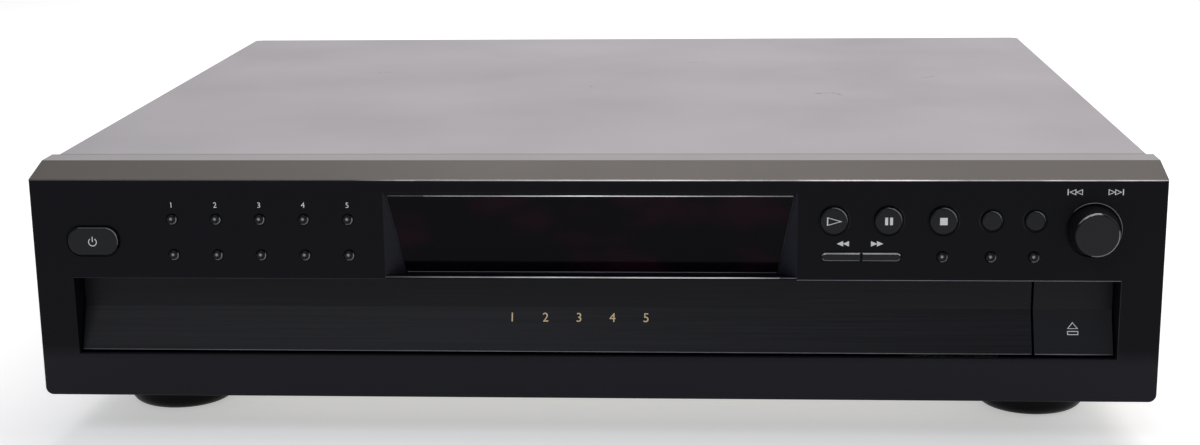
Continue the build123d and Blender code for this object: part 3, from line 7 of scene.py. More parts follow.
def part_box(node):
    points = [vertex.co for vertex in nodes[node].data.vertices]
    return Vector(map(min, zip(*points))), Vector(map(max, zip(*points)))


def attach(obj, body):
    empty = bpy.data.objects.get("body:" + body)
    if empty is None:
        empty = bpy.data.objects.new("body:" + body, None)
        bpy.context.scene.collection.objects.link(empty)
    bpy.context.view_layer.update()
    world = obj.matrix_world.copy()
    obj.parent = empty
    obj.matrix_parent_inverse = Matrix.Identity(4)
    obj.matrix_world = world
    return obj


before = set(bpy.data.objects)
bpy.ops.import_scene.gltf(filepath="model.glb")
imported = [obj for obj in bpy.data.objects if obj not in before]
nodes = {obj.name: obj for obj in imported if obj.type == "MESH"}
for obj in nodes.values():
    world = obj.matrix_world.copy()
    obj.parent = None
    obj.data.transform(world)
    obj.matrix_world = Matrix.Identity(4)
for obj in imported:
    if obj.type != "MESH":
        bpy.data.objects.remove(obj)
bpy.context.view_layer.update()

scene = bpy.context.scene
scene.view_settings.view_transform = "Standard"

# ---------------------------------------------------------------- room
# A pale matt floor under the set, soft boxes above, in front and at the right, and a white surround.
# Both show white to the camera, the floor in gloss too, while the object keeps its own soft light.


def linear(code, alpha=1.0):
    """An sRGB hex colour as the linear values that a shader takes."""
    channels = [int(code[k:k + 2], 16) / 255 for k in (1, 3, 5)]
    return tuple(c / 12.92 if c <= 0.04045 else ((c + 0.055) / 1.055) ** 2.4 for c in channels) + (alpha,)


def add(tree, kind, inputs=None, **settings):
    """Adds a shader node with its settings; inputs are values or other nodes' outputs."""
    made = tree.nodes.new("ShaderNode" + kind)
    for name, value in settings.items():
        setattr(made, name, value)
    for name, value in (inputs or {}).items():
        if isinstance(value, bpy.types.NodeSocket):
            tree.links.new(value, made.inputs[name])
        else:
            made.inputs[name].default_value = value
    return made


def mesh_piece(name, points, faces, body=None, material=None, smooth=False):
    """A mesh object from corners in metres; it rides on body and wears material."""
    mesh = bpy.data.meshes.new(name)
    mesh.from_pydata([tuple(p) for p in points], [], faces)
    mesh.update()
    if smooth:
        mesh.shade_smooth()
    piece = bpy.data.objects.new(name, mesh)
    scene.collection.objects.link(piece)
    if material:
        mesh.materials.append(material)
    if body:
        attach(piece, body)
    return piece


floor_half = 6.0
floor = mesh_piece(
    "studio_floor",
    [(x * floor_half, y * floor_half, 0) for x, y in ((-1, -1), (1, -1), (1, 1), (-1, 1))],
    [(0, 1, 2, 3)],
)
paper = bpy.data.materials.new("matt_white_paper")
paper.use_nodes = True
tree = paper.node_tree
tree.nodes.clear()
seen = add(tree, "LightPath")
direct, glossy, through = (seen.outputs[f"Is {ray} Ray"] for ray in ("Camera", "Glossy", "Transmission"))
shown = add(tree, "Math", {0: direct, 1: glossy}, operation="MAXIMUM")
shown = add(tree, "Math", {0: shown.outputs[0], 1: through}, operation="MAXIMUM")
fibre = add(tree, "TexNoise", {"Scale": 3.0, "Detail": 2.0})
tone = add(tree, "MapRange", {"Value": fibre.outputs["Fac"], "To Min": 0.78, "To Max": 0.82})
matt = add(tree, "BsdfDiffuse", {"Color": tone.outputs[0]})
glow = add(tree, "Emission", {"Color": linear("#ffffff"), "Strength": 0.45})
both = add(tree, "AddShader", {0: matt.outputs[0], 1: glow.outputs[0]})
choice = add(tree, "MixShader", {"Fac": shown.outputs[0], 1: matt.outputs[0], 2: both.outputs[0]})
add(tree, "OutputMaterial", {"Surface": choice.outputs[0]})
floor.data.materials.append(paper)

world = bpy.data.worlds.new("white_surround")
scene.world = world
world.use_nodes = True
tree = world.node_tree
tree.nodes.clear()
seen = add(tree, "LightPath")
direct, through = (seen.outputs[f"Is {ray} Ray"] for ray in ("Camera", "Transmission"))
shown = add(tree, "Math", {0: direct, 1: through}, operation="MAXIMUM")
dim = add(tree, "Background", {"Color": linear("#e9eef4"), "Strength": 0.28})
white = add(tree, "Background", {"Color": linear("#ffffff"), "Strength": 1.0})
choice = add(tree, "MixShader", {"Fac": shown.outputs[0], 1: dim.outputs[0], 2: white.outputs[0]})
add(tree, "OutputWorld", {"Surface": choice.outputs[0]})


def soft_box(name, place, aim, width, height, power, tint="#ffffff"):
    """A rectangular area lamp at place, turned towards aim."""
    lamp = bpy.data.lights.new(name, "AREA")
    lamp.shape = "RECTANGLE"
    lamp.size, lamp.size_y = width, height
    lamp.energy = power
    lamp.color = linear(tint)[:3]
    holder = bpy.data.objects.new(name, lamp)
    holder.location = place
    holder.rotation_euler = (Vector(aim) - Vector(place)).to_track_quat("-Z", "Y").to_euler()
    scene.collection.objects.link(holder)


soft_box("overhead_box", (0.35, 0.75, 1.55), (0, 0.05, 0.05), 2.2, 1.3, 26, "#fff8f4")
soft_box("front_box", (-0.5, -1.7, 1.5), (0, -0.1, 0.05), 1.2, 0.7, 11, "#f4f6ff")
soft_box("right_box", (1.7, -0.3, 0.9), (0.1, 0, 0.05), 0.8, 0.8, 5)

# The camera stands in front, a little above the set, and looks slightly down and to the left.
image_width, image_height = 1200, 445
camera_f, camera_centre_y = 1944.7, 260.0
camera_place = (0.0493, -0.8998, 0.2537)
camera_data = bpy.data.cameras.new("camera")
camera = bpy.data.objects.new("camera", camera_data)
scene.collection.objects.link(camera)
camera_data.sensor_width = 36.0
camera_data.lens = camera_f / image_width * camera_data.sensor_width
camera_data.shift_y = (camera_centre_y - image_height / 2) / image_width
yaw, pitch, roll = radians(-3.63), radians(14.03), radians(0.71)
ahead = Vector((sin(yaw) * cos(pitch), cos(yaw) * cos(pitch), -sin(pitch)))
sideways = Vector((cos(yaw), -sin(yaw), 0))
down = ahead.cross(sideways)
right = cos(roll) * sideways + sin(roll) * down
up = sin(roll) * sideways - cos(roll) * down
facing = Matrix((right, up, -ahead)).transposed().to_4x4()
camera.matrix_world = Matrix.Translation(camera_place) @ facing
scene.camera = camera

# ---------------------------------------------------------------- top cover
# Sheet steel, folded and sprayed with a lilac-grey enamel that dries with a fine soft grain. Use has
# left faint cloudy marks, and a few short scuffs where something hard was set down on the top.


def surface(name, **sockets):
    """A new material with one principled shader; returns the material, its tree and the shader."""
    made = bpy.data.materials.new(name)
    made.use_nodes = True
    branches = made.node_tree
    branches.nodes.clear()
    shader = add(branches, "BsdfPrincipled", {key.replace("_", " "): value for key, value in sockets.items()})
    add(branches, "OutputMaterial", {"Surface": shader.outputs[0]})
    return made, branches, shader


def patterned(tree, size_mm, stretch=(1, 1, 1), detail=3.0):
    """A noise whose grains are size_mm across, in the object's own millimetres."""
    place = add(tree, "TexCoord")
    turned = add(tree, "Mapping", {"Vector": place.outputs["Object"], "Scale": stretch})
    return add(tree, "TexNoise", {"Vector": turned.outputs[0], "Scale": 1000.0 / size_mm, "Detail": detail})


def blended(tree, factor, dark, light):
    """Two colours, as sRGB hex codes or outputs, mixed by a factor output."""
    ends = [linear(end) if isinstance(end, str) else end for end in (dark, light)]
    mixed = add(tree, "Mix", {"Factor": factor, "A": ends[0], "B": ends[1]}, data_type="RGBA")
    return mixed.outputs["Result"]


def mottled(tree, shader, size_mm, dark, light, **grain):
    """Colours a shader between two tones by a noise, and returns the noise."""
    noise = patterned(tree, size_mm, **grain)
    tree.links.new(blended(tree, noise.outputs["Fac"], dark, light), shader.inputs["Base Color"])
    return noise


def dress(node, *materials):
    """Puts materials in a CAD node's slots, the first on every face."""
    mesh = nodes[node].data
    mesh.materials.clear()
    for material in materials:
        mesh.materials.append(material)
    mesh.polygons.foreach_set("material_index", [0] * len(mesh.polygons))
    mesh.update()


# Sprayed enamel on steel: satin, with an orange-peel grain of about 1 mm and clouded handling marks.
enamel, tree, shader = surface("sprayed_enamel_on_steel")
clouds = patterned(tree, 90, detail=4)
cloud = add(tree, "MapRange", {"Value": clouds.outputs["Fac"], "From Min": 0.3, "From Max": 0.7})
colour = blended(tree, cloud.outputs[0], "#a9a6aa", "#b1aeb3")
# Scuffs: each a spindle of broken scratches, with its middle, length, width and turn in mm and degrees.
scuffs = [
    (-11, 14, 7, 1.0, 58),
    (95, -10, 9, 1.4, -30),
    (100, -8, 12, 1.2, -22),
    (104, -13, 5, 1.0, -60),
    (-120, 60, 22, 0.8, 12),
    (38, 90, 16, 0.7, -8),
    (150, 40, 12, 0.8, 35),
]
cover_top, scuff_depth = 0.11, 0.004
broken = patterned(tree, 1.6, detail=3)
shred = add(tree, "MapRange", {"Value": broken.outputs["Fac"], "From Min": 0.42, "From Max": 0.55})
place = add(tree, "TexCoord")
total = None
for x, y, length, width, turn in scuffs:
    laid = add(tree, "Mapping", {
        "Vector": place.outputs["Object"], "Location": (x / 1000, y / 1000, cover_top),
        "Rotation": (0, 0, radians(turn)), "Scale": (length / 2000, width / 2000, scuff_depth),
    }, vector_type="TEXTURE")
    spindle = add(tree, "TexGradient", {"Vector": laid.outputs[0]}, gradient_type="SPHERICAL")
    if total is None:
        total = spindle.outputs["Fac"]
    else:
        total = add(tree, "Math", {0: total, 1: spindle.outputs["Fac"]}, operation="MAXIMUM").outputs[0]
depth = add(tree, "Math", {0: total, 1: 2.5}, operation="MULTIPLY")
depth.use_clamp = True
scratched = add(tree, "Math", {0: depth.outputs[0], 1: shred.outputs[0]}, operation="MULTIPLY")
tree.links.new(blended(tree, scratched.outputs[0], colour, "#575459"), shader.inputs["Base Color"])
gloss = add(tree, "MapRange", {"Value": cloud.outputs[0], "To Min": 0.44, "To Max": 0.56})
tree.links.new(gloss.outputs[0], shader.inputs["Roughness"])
peel = patterned(tree, 1.0, detail=2)
bump = add(tree, "Bump", {"Strength": 0.12, "Distance": 0.0003, "Height": peel.outputs["Fac"]})
tree.links.new(bump.outputs[0], shader.inputs["Normal"])
dress("top_cover", enamel)

# ---------------------------------------------------------------- front panel
# One injection moulding in black ABS: a satin face, a sloping band above it and a narrow flat strip that
# meets the cover, both with a painted reflection. Its arrises' shine is painted as thin highlight lines,
# drawn as round beads.


def moulded(name, dark, light, roughness, grain_mm=0.5, depth_mm=0.03, cloud_mm=45, **sockets):
    """Moulded plastic: a fine tool texture and a slight drift of tone and gloss."""
    made, tree, shader = surface(name, **sockets)
    drift = mottled(tree, shader, cloud_mm, dark, light, detail=3)
    sheen = add(tree, "MapRange", {
        "Value": drift.outputs["Fac"], "From Min": 0.3, "From Max": 0.7,
        "To Min": roughness * 0.92, "To Max": min(1.0, roughness * 1.08),
    })
    tree.links.new(sheen.outputs[0], shader.inputs["Roughness"])
    grain = patterned(tree, grain_mm, detail=2)
    relief = add(tree, "Bump", {
        "Strength": 0.25, "Distance": depth_mm / 1000, "Height": grain.outputs["Fac"],
    })
    tree.links.new(relief.outputs[0], shader.inputs["Normal"])
    return made


def tinted(material, factor, light):
    """Lays a second colour over a material's own, where a factor from its tree is 1."""
    tree = material.node_tree
    shader = tree.nodes["Principled BSDF"]
    own = shader.inputs["Base Color"].links[0].from_socket
    tree.links.new(blended(tree, factor, own, light), shader.inputs["Base Color"])


def pick(node, slot, test):
    """Gives a slot's material to the faces whose middle and facing pass the test."""
    for polygon in nodes[node].data.polygons:
        if test(polygon.center, polygon.normal):
            polygon.material_index = slot


def crossing(tree, axis, start, end):
    """A factor that runs from 0 to 1 between two places along one of the object's axes, in metres."""
    place = add(tree, "TexCoord")
    axes = add(tree, "SeparateXYZ", {"Vector": place.outputs["Object"]})
    return add(tree, "MapRange", {"Value": axes.outputs[axis], "From Min": start, "From Max": end}).outputs[0]


# Satin black ABS, its tool spark-eroded at about 0.5 mm: near black with a soft cool sheen. The lower
# lip is painted a shade greyer than the face over it: painted light, for the light the lip catches.
face_abs = moulded("satin_black_abs", "#0a0a10", "#0f0f15", 0.42, IOR=1.5, Specular_IOR_Level=0.09)
tinted(face_abs, crossing(face_abs.node_tree, "Z", 0.040, 0.034), "#232328")
# The same ABS in a neutral black, for the sides of the drawer front and its button, and for the
# fittings at the rear.
black_abs = moulded("moulded_black_abs", "#101013", "#151519", 0.42, IOR=1.5, Specular_IOR_Level=0.12)
# The same ABS with a painted reflection: slope and strip painted brownish grey for the white they reflect.
slope_painted_reflection = moulded("painted_reflection_abs_slope", "#57534e", "#5f5b57", 0.45, IOR=1.5, Specular_IOR_Level=0.15)
strip_painted_reflection = moulded("painted_reflection_abs_strip", "#a19ea0", "#aaa7a9", 0.5, IOR=1.5, Specular_IOR_Level=0.3)
# A bright painted highlight on an ABS arris: a broken, nearly white line, which fades out towards the left
# end. It is part metallic, which ABS isn't, so that a line this thin shows as bright as the real edge's
# shine.
bright_painted_highlight, tree, shader = surface("painted_highlight_abs_edge", Metallic=0.6, Roughness=0.28)
broken = patterned(tree, 55, detail=4)
patch = add(tree, "MapRange", {"Value": broken.outputs["Fac"], "From Min": 0.38, "From Max": 0.58})
bright = blended(tree, patch.outputs[0], "#a5a3a2", "#fdfcfa")
reach = crossing(tree, "X", -0.09, -0.05)
tree.links.new(blended(tree, reach, "#3c3a38", bright), shader.inputs["Base Color"])
# A dimmer painted highlight where the same arris shines less: a dim grey line, a little metallic for the same
# reason.
dim_painted_highlight, tree, shader = surface("painted_dim_highlight_abs_edge", Metallic=0.2, Roughness=0.35, Specular_IOR_Level=0.3)
mottled(tree, shader, 30, "#696a72", "#9a9ba3", detail=3)
# A faint painted highlight where an arris hardly shines: only just lighter than the face.
faint_painted_highlight, tree, shader = surface("painted_faint_highlight_abs_edge", Roughness=0.4, Specular_IOR_Level=0.25)
mottled(tree, shader, 30, "#26262c", "#3a3a42", detail=3)
# The cheeks of the window's recess, with painted light: a bluer, slightly lighter black for the light that
# falls on them.
cheek_painted_light = moulded("painted_light_abs_cheek", "#16171f", "#1b1c25", 0.36, IOR=1.5, Specular_IOR_Level=0.14)
dress("front_panel", face_abs, slope_painted_reflection, strip_painted_reflection, bright_painted_highlight, cheek_painted_light)
face_top, bevel_low, front_y, near = 0.1056, 0.1049, -0.185, 0.0002
# The slope and the strip take the painted reflection of the white surround.
pick("front_panel", 1, lambda at, facing: at.z > face_top - near and facing.z > 0.5)
pick("front_panel", 2, lambda at, facing: at.z > face_top - near and facing.z > 0.9 and facing.y > -0.1)


def is_bevel(at, facing):
    """The small bevel between the face and the slope."""
    return at.z > bevel_low and at.y < front_y + 0.0005 and 0.3 < facing.z < 0.88


def is_cheek(at, facing):
    """The slanting ends of the window's recess."""
    inside = 0.068 < at.z < 0.103 and 0.07 < abs(at.x) < 0.08
    return inside and abs(facing.x) > 0.4 and facing.y < -0.3


# The bevel under the face's top carries the bright painted highlight.
pick("front_panel", 3, is_bevel)
# The cheeks take the painted light.
pick("front_panel", 4, is_cheek)


def straight_highlight_bead(name, start, end, radius, body, material):
    """A painted highlight on the arris of a moulding: a thin round bead from start to end, in millimetres."""
    first, last = Vector(start) / 1000, Vector(end) / 1000
    sides = 10
    turn = (last - first).to_track_quat("Z", "Y")
    around = [2 * pi * k / sides for k in range(sides)]
    ring = [turn @ Vector((cos(angle), sin(angle), 0)) * radius / 1000 for angle in around]
    points = [first + p for p in ring] + [last + p for p in ring]
    faces = [(k, (k + 1) % sides, sides + (k + 1) % sides, sides + k) for k in range(sides)]
    faces += [tuple(reversed(range(sides))), tuple(range(sides, 2 * sides))]
    mesh_piece(name, points, faces, body, material, smooth=True)


# Painted highlights, as thin beads: along the top of the face, along the ledge under the window and round the
# drawer's mouth. The beads' middles lie just behind the face, so that they stand out of it by a hair.
bevel_y, bevel_z = -184.8, 105.38
straight_highlight_bead("face_top_arris", (-66, bevel_y, bevel_z), (213.4, bevel_y, bevel_z), 0.2, "root", bright_painted_highlight)
arris_y = -184.95
ledge_end, dim_from = 78.5, 72
left, turning, right = ((x, arris_y, 67.85) for x in (-ledge_end, dim_from, ledge_end))
straight_highlight_bead("ledge_arris", left, turning, 0.3, "root", bright_painted_highlight)
straight_highlight_bead("ledge_arris_end", turning, right, 0.14, "root", dim_painted_highlight)
mouth_left, mouth_right, mouth_top, mouth_foot, clear = -200.2, 199.4, 67.0, 36.4, 0.1
for name, start, end, radius, material in (
    ("mouth_arris_left", mouth_left, -ledge_end, 0.12, faint_painted_highlight),
    ("mouth_arris_right", ledge_end, mouth_right, 0.14, dim_painted_highlight),
):
    over = mouth_top + clear
    straight_highlight_bead(name, (start, arris_y, over), (end, arris_y, over), radius, "root", material)
low, high = ((mouth_right + clear, arris_y, z) for z in (mouth_foot, mouth_top))
straight_highlight_bead("mouth_arris_end", low, high, 0.12, "root", faint_painted_highlight)


def round_highlight_bead(name, x, y, z, reach, start, end, radius, body, material):
    """A painted highlight on the arris of a round hole: a bead bent round x, z from start to end, in degrees.
    """
    steps, sides = 28, 8
    points, faces = [], []
    for k in range(steps + 1):
        angle = radians(start + (end - start) * k / steps)
        slim = radius * min(1.0, 0.15 + 3.0 * min(k, steps - k) / steps)
        for j in range(sides):
            around = 2 * pi * j / sides
            out = reach + slim * cos(around)
            corner = (x + out * cos(angle), y + slim * sin(around), z + out * sin(angle))
            points.append(tuple(value / 1000 for value in corner))
    for k in range(steps):
        for j in range(sides):
            after = (j + 1) % sides
            faces.append((k * sides + j, k * sides + after, (k + 1) * sides + after, (k + 1) * sides + j))
    faces += [tuple(reversed(range(sides))), tuple(range(steps * sides, (steps + 1) * sides))]
    mesh_piece(name, points, faces, body, material, smooth=True)


# Painted highlights on the rims of the shallow wells round the knob, the three large buttons and the two
# middle ones.
knob_x, knob_z, row_z = 188.3, 86.6, 90.3
play_x, pause_x, stop_x = 92.0, 112.3, 132.7
round_highlight_bead("knob_well_arris", knob_x, arris_y, knob_z, 10.45, -35, 150, 0.16, "root", dim_painted_highlight)
for name, x in (("play", play_x), ("pause", pause_x), ("stop", stop_x)):
    round_highlight_bead(f"{name}_well_arris", x, arris_y, row_z, 6.05, -60, 70, 0.1, "root", faint_painted_highlight)
for name, x in (("swap", 150.7), ("skip", 166.7)):
    round_highlight_bead(f"{name}_well_arris", x, arris_y, row_z, 4.65, 100, 260, 0.1, "root", faint_painted_highlight)

# ---------------------------------------------------------------- display window
# A smoked acrylic pane, set back under the face and leaning with the recess. It hides the tube behind it and
# shows a deep black with a trace of wine red; its sawn top edge has a painted highlight, a bright bead, and
# its other edges dimmer ones.
smoked, tree, shader = surface("smoked_acrylic", Roughness=0.12, IOR=1.49, Specular_IOR_Level=0.05)
drift = patterned(tree, 35, stretch=(1, 1, 2), detail=2)
tint = add(tree, "MapRange", {"Value": drift.outputs["Fac"], "From Min": 0.5, "From Max": 0.62})
tree.links.new(blended(tree, tint.outputs[0], "#07060b", "#190812"), shader.inputs["Base Color"])
haze = patterned(tree, 4, detail=2)
polish = add(tree, "MapRange", {"Value": haze.outputs["Fac"], "To Min": 0.09, "To Max": 0.15})
tree.links.new(polish.outputs[0], shader.inputs["Roughness"])
dress("display_window", smoked)
pane_end, dim_to = 76.8, -63
left, turning, right = ((x, -184.15, 99.35) for x in (-pane_end, dim_to, pane_end))
straight_highlight_bead("pane_top_edge", turning, right, 0.27, "root", bright_painted_highlight)
straight_highlight_bead("pane_top_edge_end", left, turning, 0.12, "root", dim_painted_highlight)
for side, end in ((-1, "left"), (1, "right")):
    high, low = (side * 77.2, -184.1, 99.2), (side * 71.3, -178.2, 68.3)
    straight_highlight_bead(f"pane_{end}_edge", high, low, 0.13, "root", faint_painted_highlight)
left, right = ((x, -178.15, 68.2) for x in (-70.9, 70.9))
straight_highlight_bead("pane_foot_edge", left, right, 0.13, "root", dim_painted_highlight)

# ---------------------------------------------------------------- drawer front and its button
# A moulded front with a film that is brushed from end to end, dark above the crease; on the forward slope
# below it a copy painted a shade lighter, as painted light. The button at the right end continues the same
# profile.


def brushed(name, dark, light, roughness, glint):
    """A film brushed along X; the hairlines are drawn 0.9 mm apart, coarser than real, to show."""
    made, tree, shader = surface(name, Roughness=roughness, IOR=1.5, Specular_IOR_Level=glint)
    lines = patterned(tree, 0.9, stretch=(0.012, 1, 1), detail=4)
    spread = add(tree, "MapRange", {"Value": lines.outputs["Fac"], "From Min": 0.3, "From Max": 0.7})
    tree.links.new(blended(tree, spread.outputs[0], dark, light), shader.inputs["Base Color"])
    relief = add(tree, "Bump", {"Strength": 0.3, "Distance": 0.00005, "Height": lines.outputs["Fac"]})
    tree.links.new(relief.outputs[0], shader.inputs["Normal"])
    return made


brushed_upper = brushed("brushed_dark_film", "#101014", "#19191e", 0.4, 0.14)
lit_brushed_film = brushed("brushed_film_painted_light", "#151519", "#212126", 0.42, 0.13)
button_film = moulded("satin_charcoal_abs", "#131317", "#19191d", 0.4, IOR=1.5, Specular_IOR_Level=0.15)
lit_button_slope = moulded("satin_abs_slope_painted_light", "#202024", "#27272b", 0.4, IOR=1.5, Specular_IOR_Level=0.13)
dress("drawer_front", black_abs, brushed_upper, lit_brushed_film)
dress("open_close_button", black_abs, button_film, lit_button_slope)
crease_z = 0.0531
for name in ("drawer_front", "open_close_button"):
    pick(name, 1, lambda at, facing: facing.y < -0.5 and at.z > crease_z)
    pick(name, 2, lambda at, facing: facing.y < -0.5 and at.z <= crease_z)
# Painted highlights along the toes of the drawer front and its button.
for name, start, end, radius, body in (
    ("drawer_toe_edge", -199.6, 167.8, 0.18, "tray"),
    ("button_toe_edge", 169.1, 198.3, 0.22, "open_close_button"),
):
    left, right = ((x, -181.95, 37.45) for x in (start, end))
    straight_highlight_bead(name, left, right, radius, body, dim_painted_highlight)

# ---------------------------------------------------------------- push buttons
# Small caps moulded in a slightly bluish black, each in its own hole: ten round ones on the left,
# three large, two middle and three small ones on the right, and two search bars. Rims carry painted grey
# highlights.
blue_black = moulded(
    "satin_blue_black_abs", "#131418", "#1a1b20", 0.32, grain_mm=0.4, IOR=1.5, Specular_IOR_Level=0.18
)
# The small caps: a deeper black with a painted highlight, a light spot a little off its middle, where the
# real cap is taken to be hollowed. The painted highlight is in the colour, because the solid's face is flat.
caps_painted_highlight = moulded(
    "blue_black_abs_painted_highlight", "#0d0e12", "#121317", 0.3, grain_mm=0.4, IOR=1.5, Specular_IOR_Level=0.14
)
tree = caps_painted_highlight.node_tree
own = add(tree, "TexCoord")
centred = add(tree, "VectorMath", {0: own.outputs["Generated"], 1: (0.46, 0.5, 0.54)}, operation="SUBTRACT")
flat = add(tree, "VectorMath", {0: centred.outputs[0], 1: (1, 0, 1)}, operation="MULTIPLY")
away = add(tree, "VectorMath", {0: flat.outputs[0]}, operation="LENGTH")
spot = add(tree, "MapRange", {"Value": away.outputs["Value"], "From Min": 0.13, "From Max": 0.05})
tinted(caps_painted_highlight, spot.outputs[0], "#9fa1a8")
large_caps = ("play_button", "pause_button", "stop_button", "power_button")
middle_caps = ("disc_swap_button", "disc_skip_button")
search_caps = ("rewind_button", "forward_button")
for name in nodes:
    if name.endswith("_button") and name != "open_close_button":
        wide = name in large_caps or name in middle_caps
        dress(name, blue_black if wide or name in search_caps else caps_painted_highlight, dim_painted_highlight, bright_painted_highlight)
        # Rim faces that pass these tests take the dim or the bright painted highlight.
        if name in search_caps:
            pick(name, 2, lambda at, facing: facing.y < -0.15 and facing.z > 0.3)
            pick(name, 1, lambda at, facing: -0.9 < facing.y < -0.15 and facing.z <= -0.3)
        elif wide:
            pick(name, 1, lambda at, facing: -0.9 < facing.y < -0.25 and facing.x + facing.z > 0.75)
        else:
            pick(name, 1, lambda at, facing: -0.9 < facing.y < -0.25 and facing.x - facing.z > 0.3)

# ---------------------------------------------------------------- knob
# A smooth cap moulded in the same black, pushed on the encoder's shaft. The rounded rim of its face carries
# painted highlights, brightest along its top.
knob_abs = moulded(
    "satin_knob_abs", "#121216", "#18181c", 0.34, grain_mm=0.6, IOR=1.5, Specular_IOR_Level=0.22
)
dress("knob", knob_abs, dim_painted_highlight, bright_painted_highlight)
rim_y = -0.1920


def is_lower_rim(at, facing):
    """The rim below and to the right of the knob's middle."""
    aside = at.x - knob_x / 1000 - (at.z - knob_z / 1000)
    return -0.9 < facing.y < -0.35 and at.y < rim_y and aside > 0.006


def is_upper_rim(at, facing):
    """The rim along the top of the knob's face."""
    return -0.95 < facing.y < -0.25 and at.y < rim_y and facing.z > 0.45 and facing.x < 0.1


# Painted highlights on the rim: dim below and to the right, bright along the top.
pick("knob", 1, is_lower_rim)
pick("knob", 2, is_upper_rim)

# ---------------------------------------------------------------- printed marks
# Pad-printed ink in a light grey, lying 0.04 mm off the plastic so that it shows clear of it: plain
# numbers over the disc buttons and the usual signs for on, play, pause, stop, search, skip and open.
ink, tree, shader = surface("pad_printed_ink", Roughness=0.55)
mottled(tree, shader, 0.7, "#dcdcde", "#f4f4f5")
ink_lift = 0.00004


def flat_marks(name, loops, body, material):
    """Flat faces through loops of corners in metres, all in one piece."""
    points, faces = [], []
    for loop in loops:
        faces.append(tuple(range(len(points), len(points) + len(loop))))
        points += loop
    mesh_piece(name, points, faces, body, material)


def printed(name, outlines, y, body="root"):
    """Flat ink on an upright face at y: outlines are (x, z) corner loops in millimetres."""
    flat_marks(name, [[(x / 1000, y - ink_lift, z / 1000) for x, z in each] for each in outlines], body, ink)


def framed(corners, width):
    """The four-sided strips of a hollow outline: a loop of corners drawn with a line of that width."""
    middle = (sum(x for x, z in corners) / len(corners), sum(z for x, z in corners) / len(corners))
    size = max(hypot(x - middle[0], z - middle[1]) for x, z in corners)
    shrink = 1 - 2.0 * width / size
    inner = [(middle[0] + (x - middle[0]) * shrink, middle[1] + (z - middle[1]) * shrink) for x, z in corners]
    count = len(corners)
    return [[corners[k], corners[(k + 1) % count], inner[(k + 1) % count], inner[k]] for k in range(count)]


def bar(x, z, width, height):
    """A filled rectangle round a centre."""
    across, high = width / 2, height / 2
    return [(x - across, z - high), (x + across, z - high), (x + across, z + high), (x - across, z + high)]


def arrow(x, z, length, height):
    """A triangle pointing right, or left where length is negative."""
    return [(x - length / 2, z - height / 2), (x + length / 2, z), (x - length / 2, z + height / 2)]


def arc(x, z, radius, width, start, end, steps=18):
    """A part of a ring, in degrees from +X, as four-sided strips."""
    strips = []
    for k in range(steps):
        a, b = (radians(start + (end - start) * (k + j) / steps) for j in (0, 1))
        corners = []
        for angle, reach in ((a, radius), (b, radius), (b, radius - width), (a, radius - width)):
            corners.append((x + reach * cos(angle), z + reach * sin(angle)))
        strips.append(corners)
    return strips


def on_cap(name, button, outlines):
    """A sign on the foremost face of a button, which it moves with."""
    printed(name, outlines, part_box(button)[0].y, button)


on_x = -191.2
on_cap("on_mark", "power_button", arc(on_x, 81.6, 1.7, 0.35, 125, 415) + [bar(on_x, 82.7, 0.35, 2.0)])
on_cap("play_mark", "play_button", framed(arrow(play_x + 0.2, row_z - 0.1, 5.7, 3.3), 0.45))
on_cap("pause_mark", "pause_button", [bar(x, row_z, 1.1, 2.9) for x in (pause_x - 0.8, pause_x + 1.0)])
on_cap("stop_mark", "stop_button", [bar(stop_x, row_z, 2.8, 2.8)])
search_z, skip_z = 81.3, 101.2
printed("rewind_mark", [arrow(x, search_z, -2.4, 2.1) for x in (94.4, 96.6)], front_y)
printed("forward_mark", [arrow(x, search_z, 2.4, 2.1) for x in (107.2, 109.4)], front_y)
for name, bar_x, first_x, second_x, length in (
    ("skip_back_mark", 178.2, 179.9, 182.3, -2.6),
    ("skip_on_mark", 198.4, 194.3, 196.7, 2.6),
):
    outlines = [bar(bar_x, skip_z, 0.4, 2.3)]
    for x in (first_x, second_x):
        outlines += framed(arrow(x, skip_z, length, 2.3), 0.3)
    printed(name, outlines, front_y)


digit_share = 0.69  # height of a digit, as a share of the font's size


def digits(name, text, place, height, tilt, body, material):
    """A plain number round a place in metres, leaning by tilt degrees: 90 stands, 0 lies face up."""
    letters = bpy.data.curves.new("letters", "FONT")
    letters.body = text
    letters.size = height / 1000 / digit_share
    letters.align_x = "CENTER"
    letters.resolution_u = 4
    shape = bpy.data.objects.new("letters", letters)
    scene.collection.objects.link(shape)
    bpy.context.view_layer.update()
    mesh = bpy.data.meshes.new_from_object(shape)
    bpy.data.objects.remove(shape)
    centred = Matrix.Translation((0, -height / 2000, ink_lift))
    mesh.transform(Matrix.Translation(place) @ Matrix.Rotation(radians(tilt), 4, "X") @ centred)
    mesh.materials.clear()
    mesh.materials.append(material)
    piece = bpy.data.objects.new(name, mesh)
    scene.collection.objects.link(piece)
    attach(piece, body)


disc_count = 5
column_start, column_pitch, number_z = -160.1, 17.0, 95.9
for k in range(disc_count):
    over = ((column_start + k * column_pitch) / 1000, front_y, number_z / 1000)
    digits(f"disc_number_{k + 1}", str(k + 1), over, 2.1, 90, "root", ink)

# Sign on the open/close button: a hollow triangle over a hollow bar, on the sloping lower part.
# The slope runs back from its foot, 3 mm behind the face, to the crease, 10.5 mm behind it.
slope_foot, slope_top, foot_back, crease_back = 37.3, 53.2, 3.0, 10.5
slope_rise = (crease_back - foot_back) / (slope_top - slope_foot)


def slope_at(z):
    """The y in metres of the slope, at a height in millimetres."""
    return front_y + (foot_back + slope_rise * (z - slope_foot)) / 1000


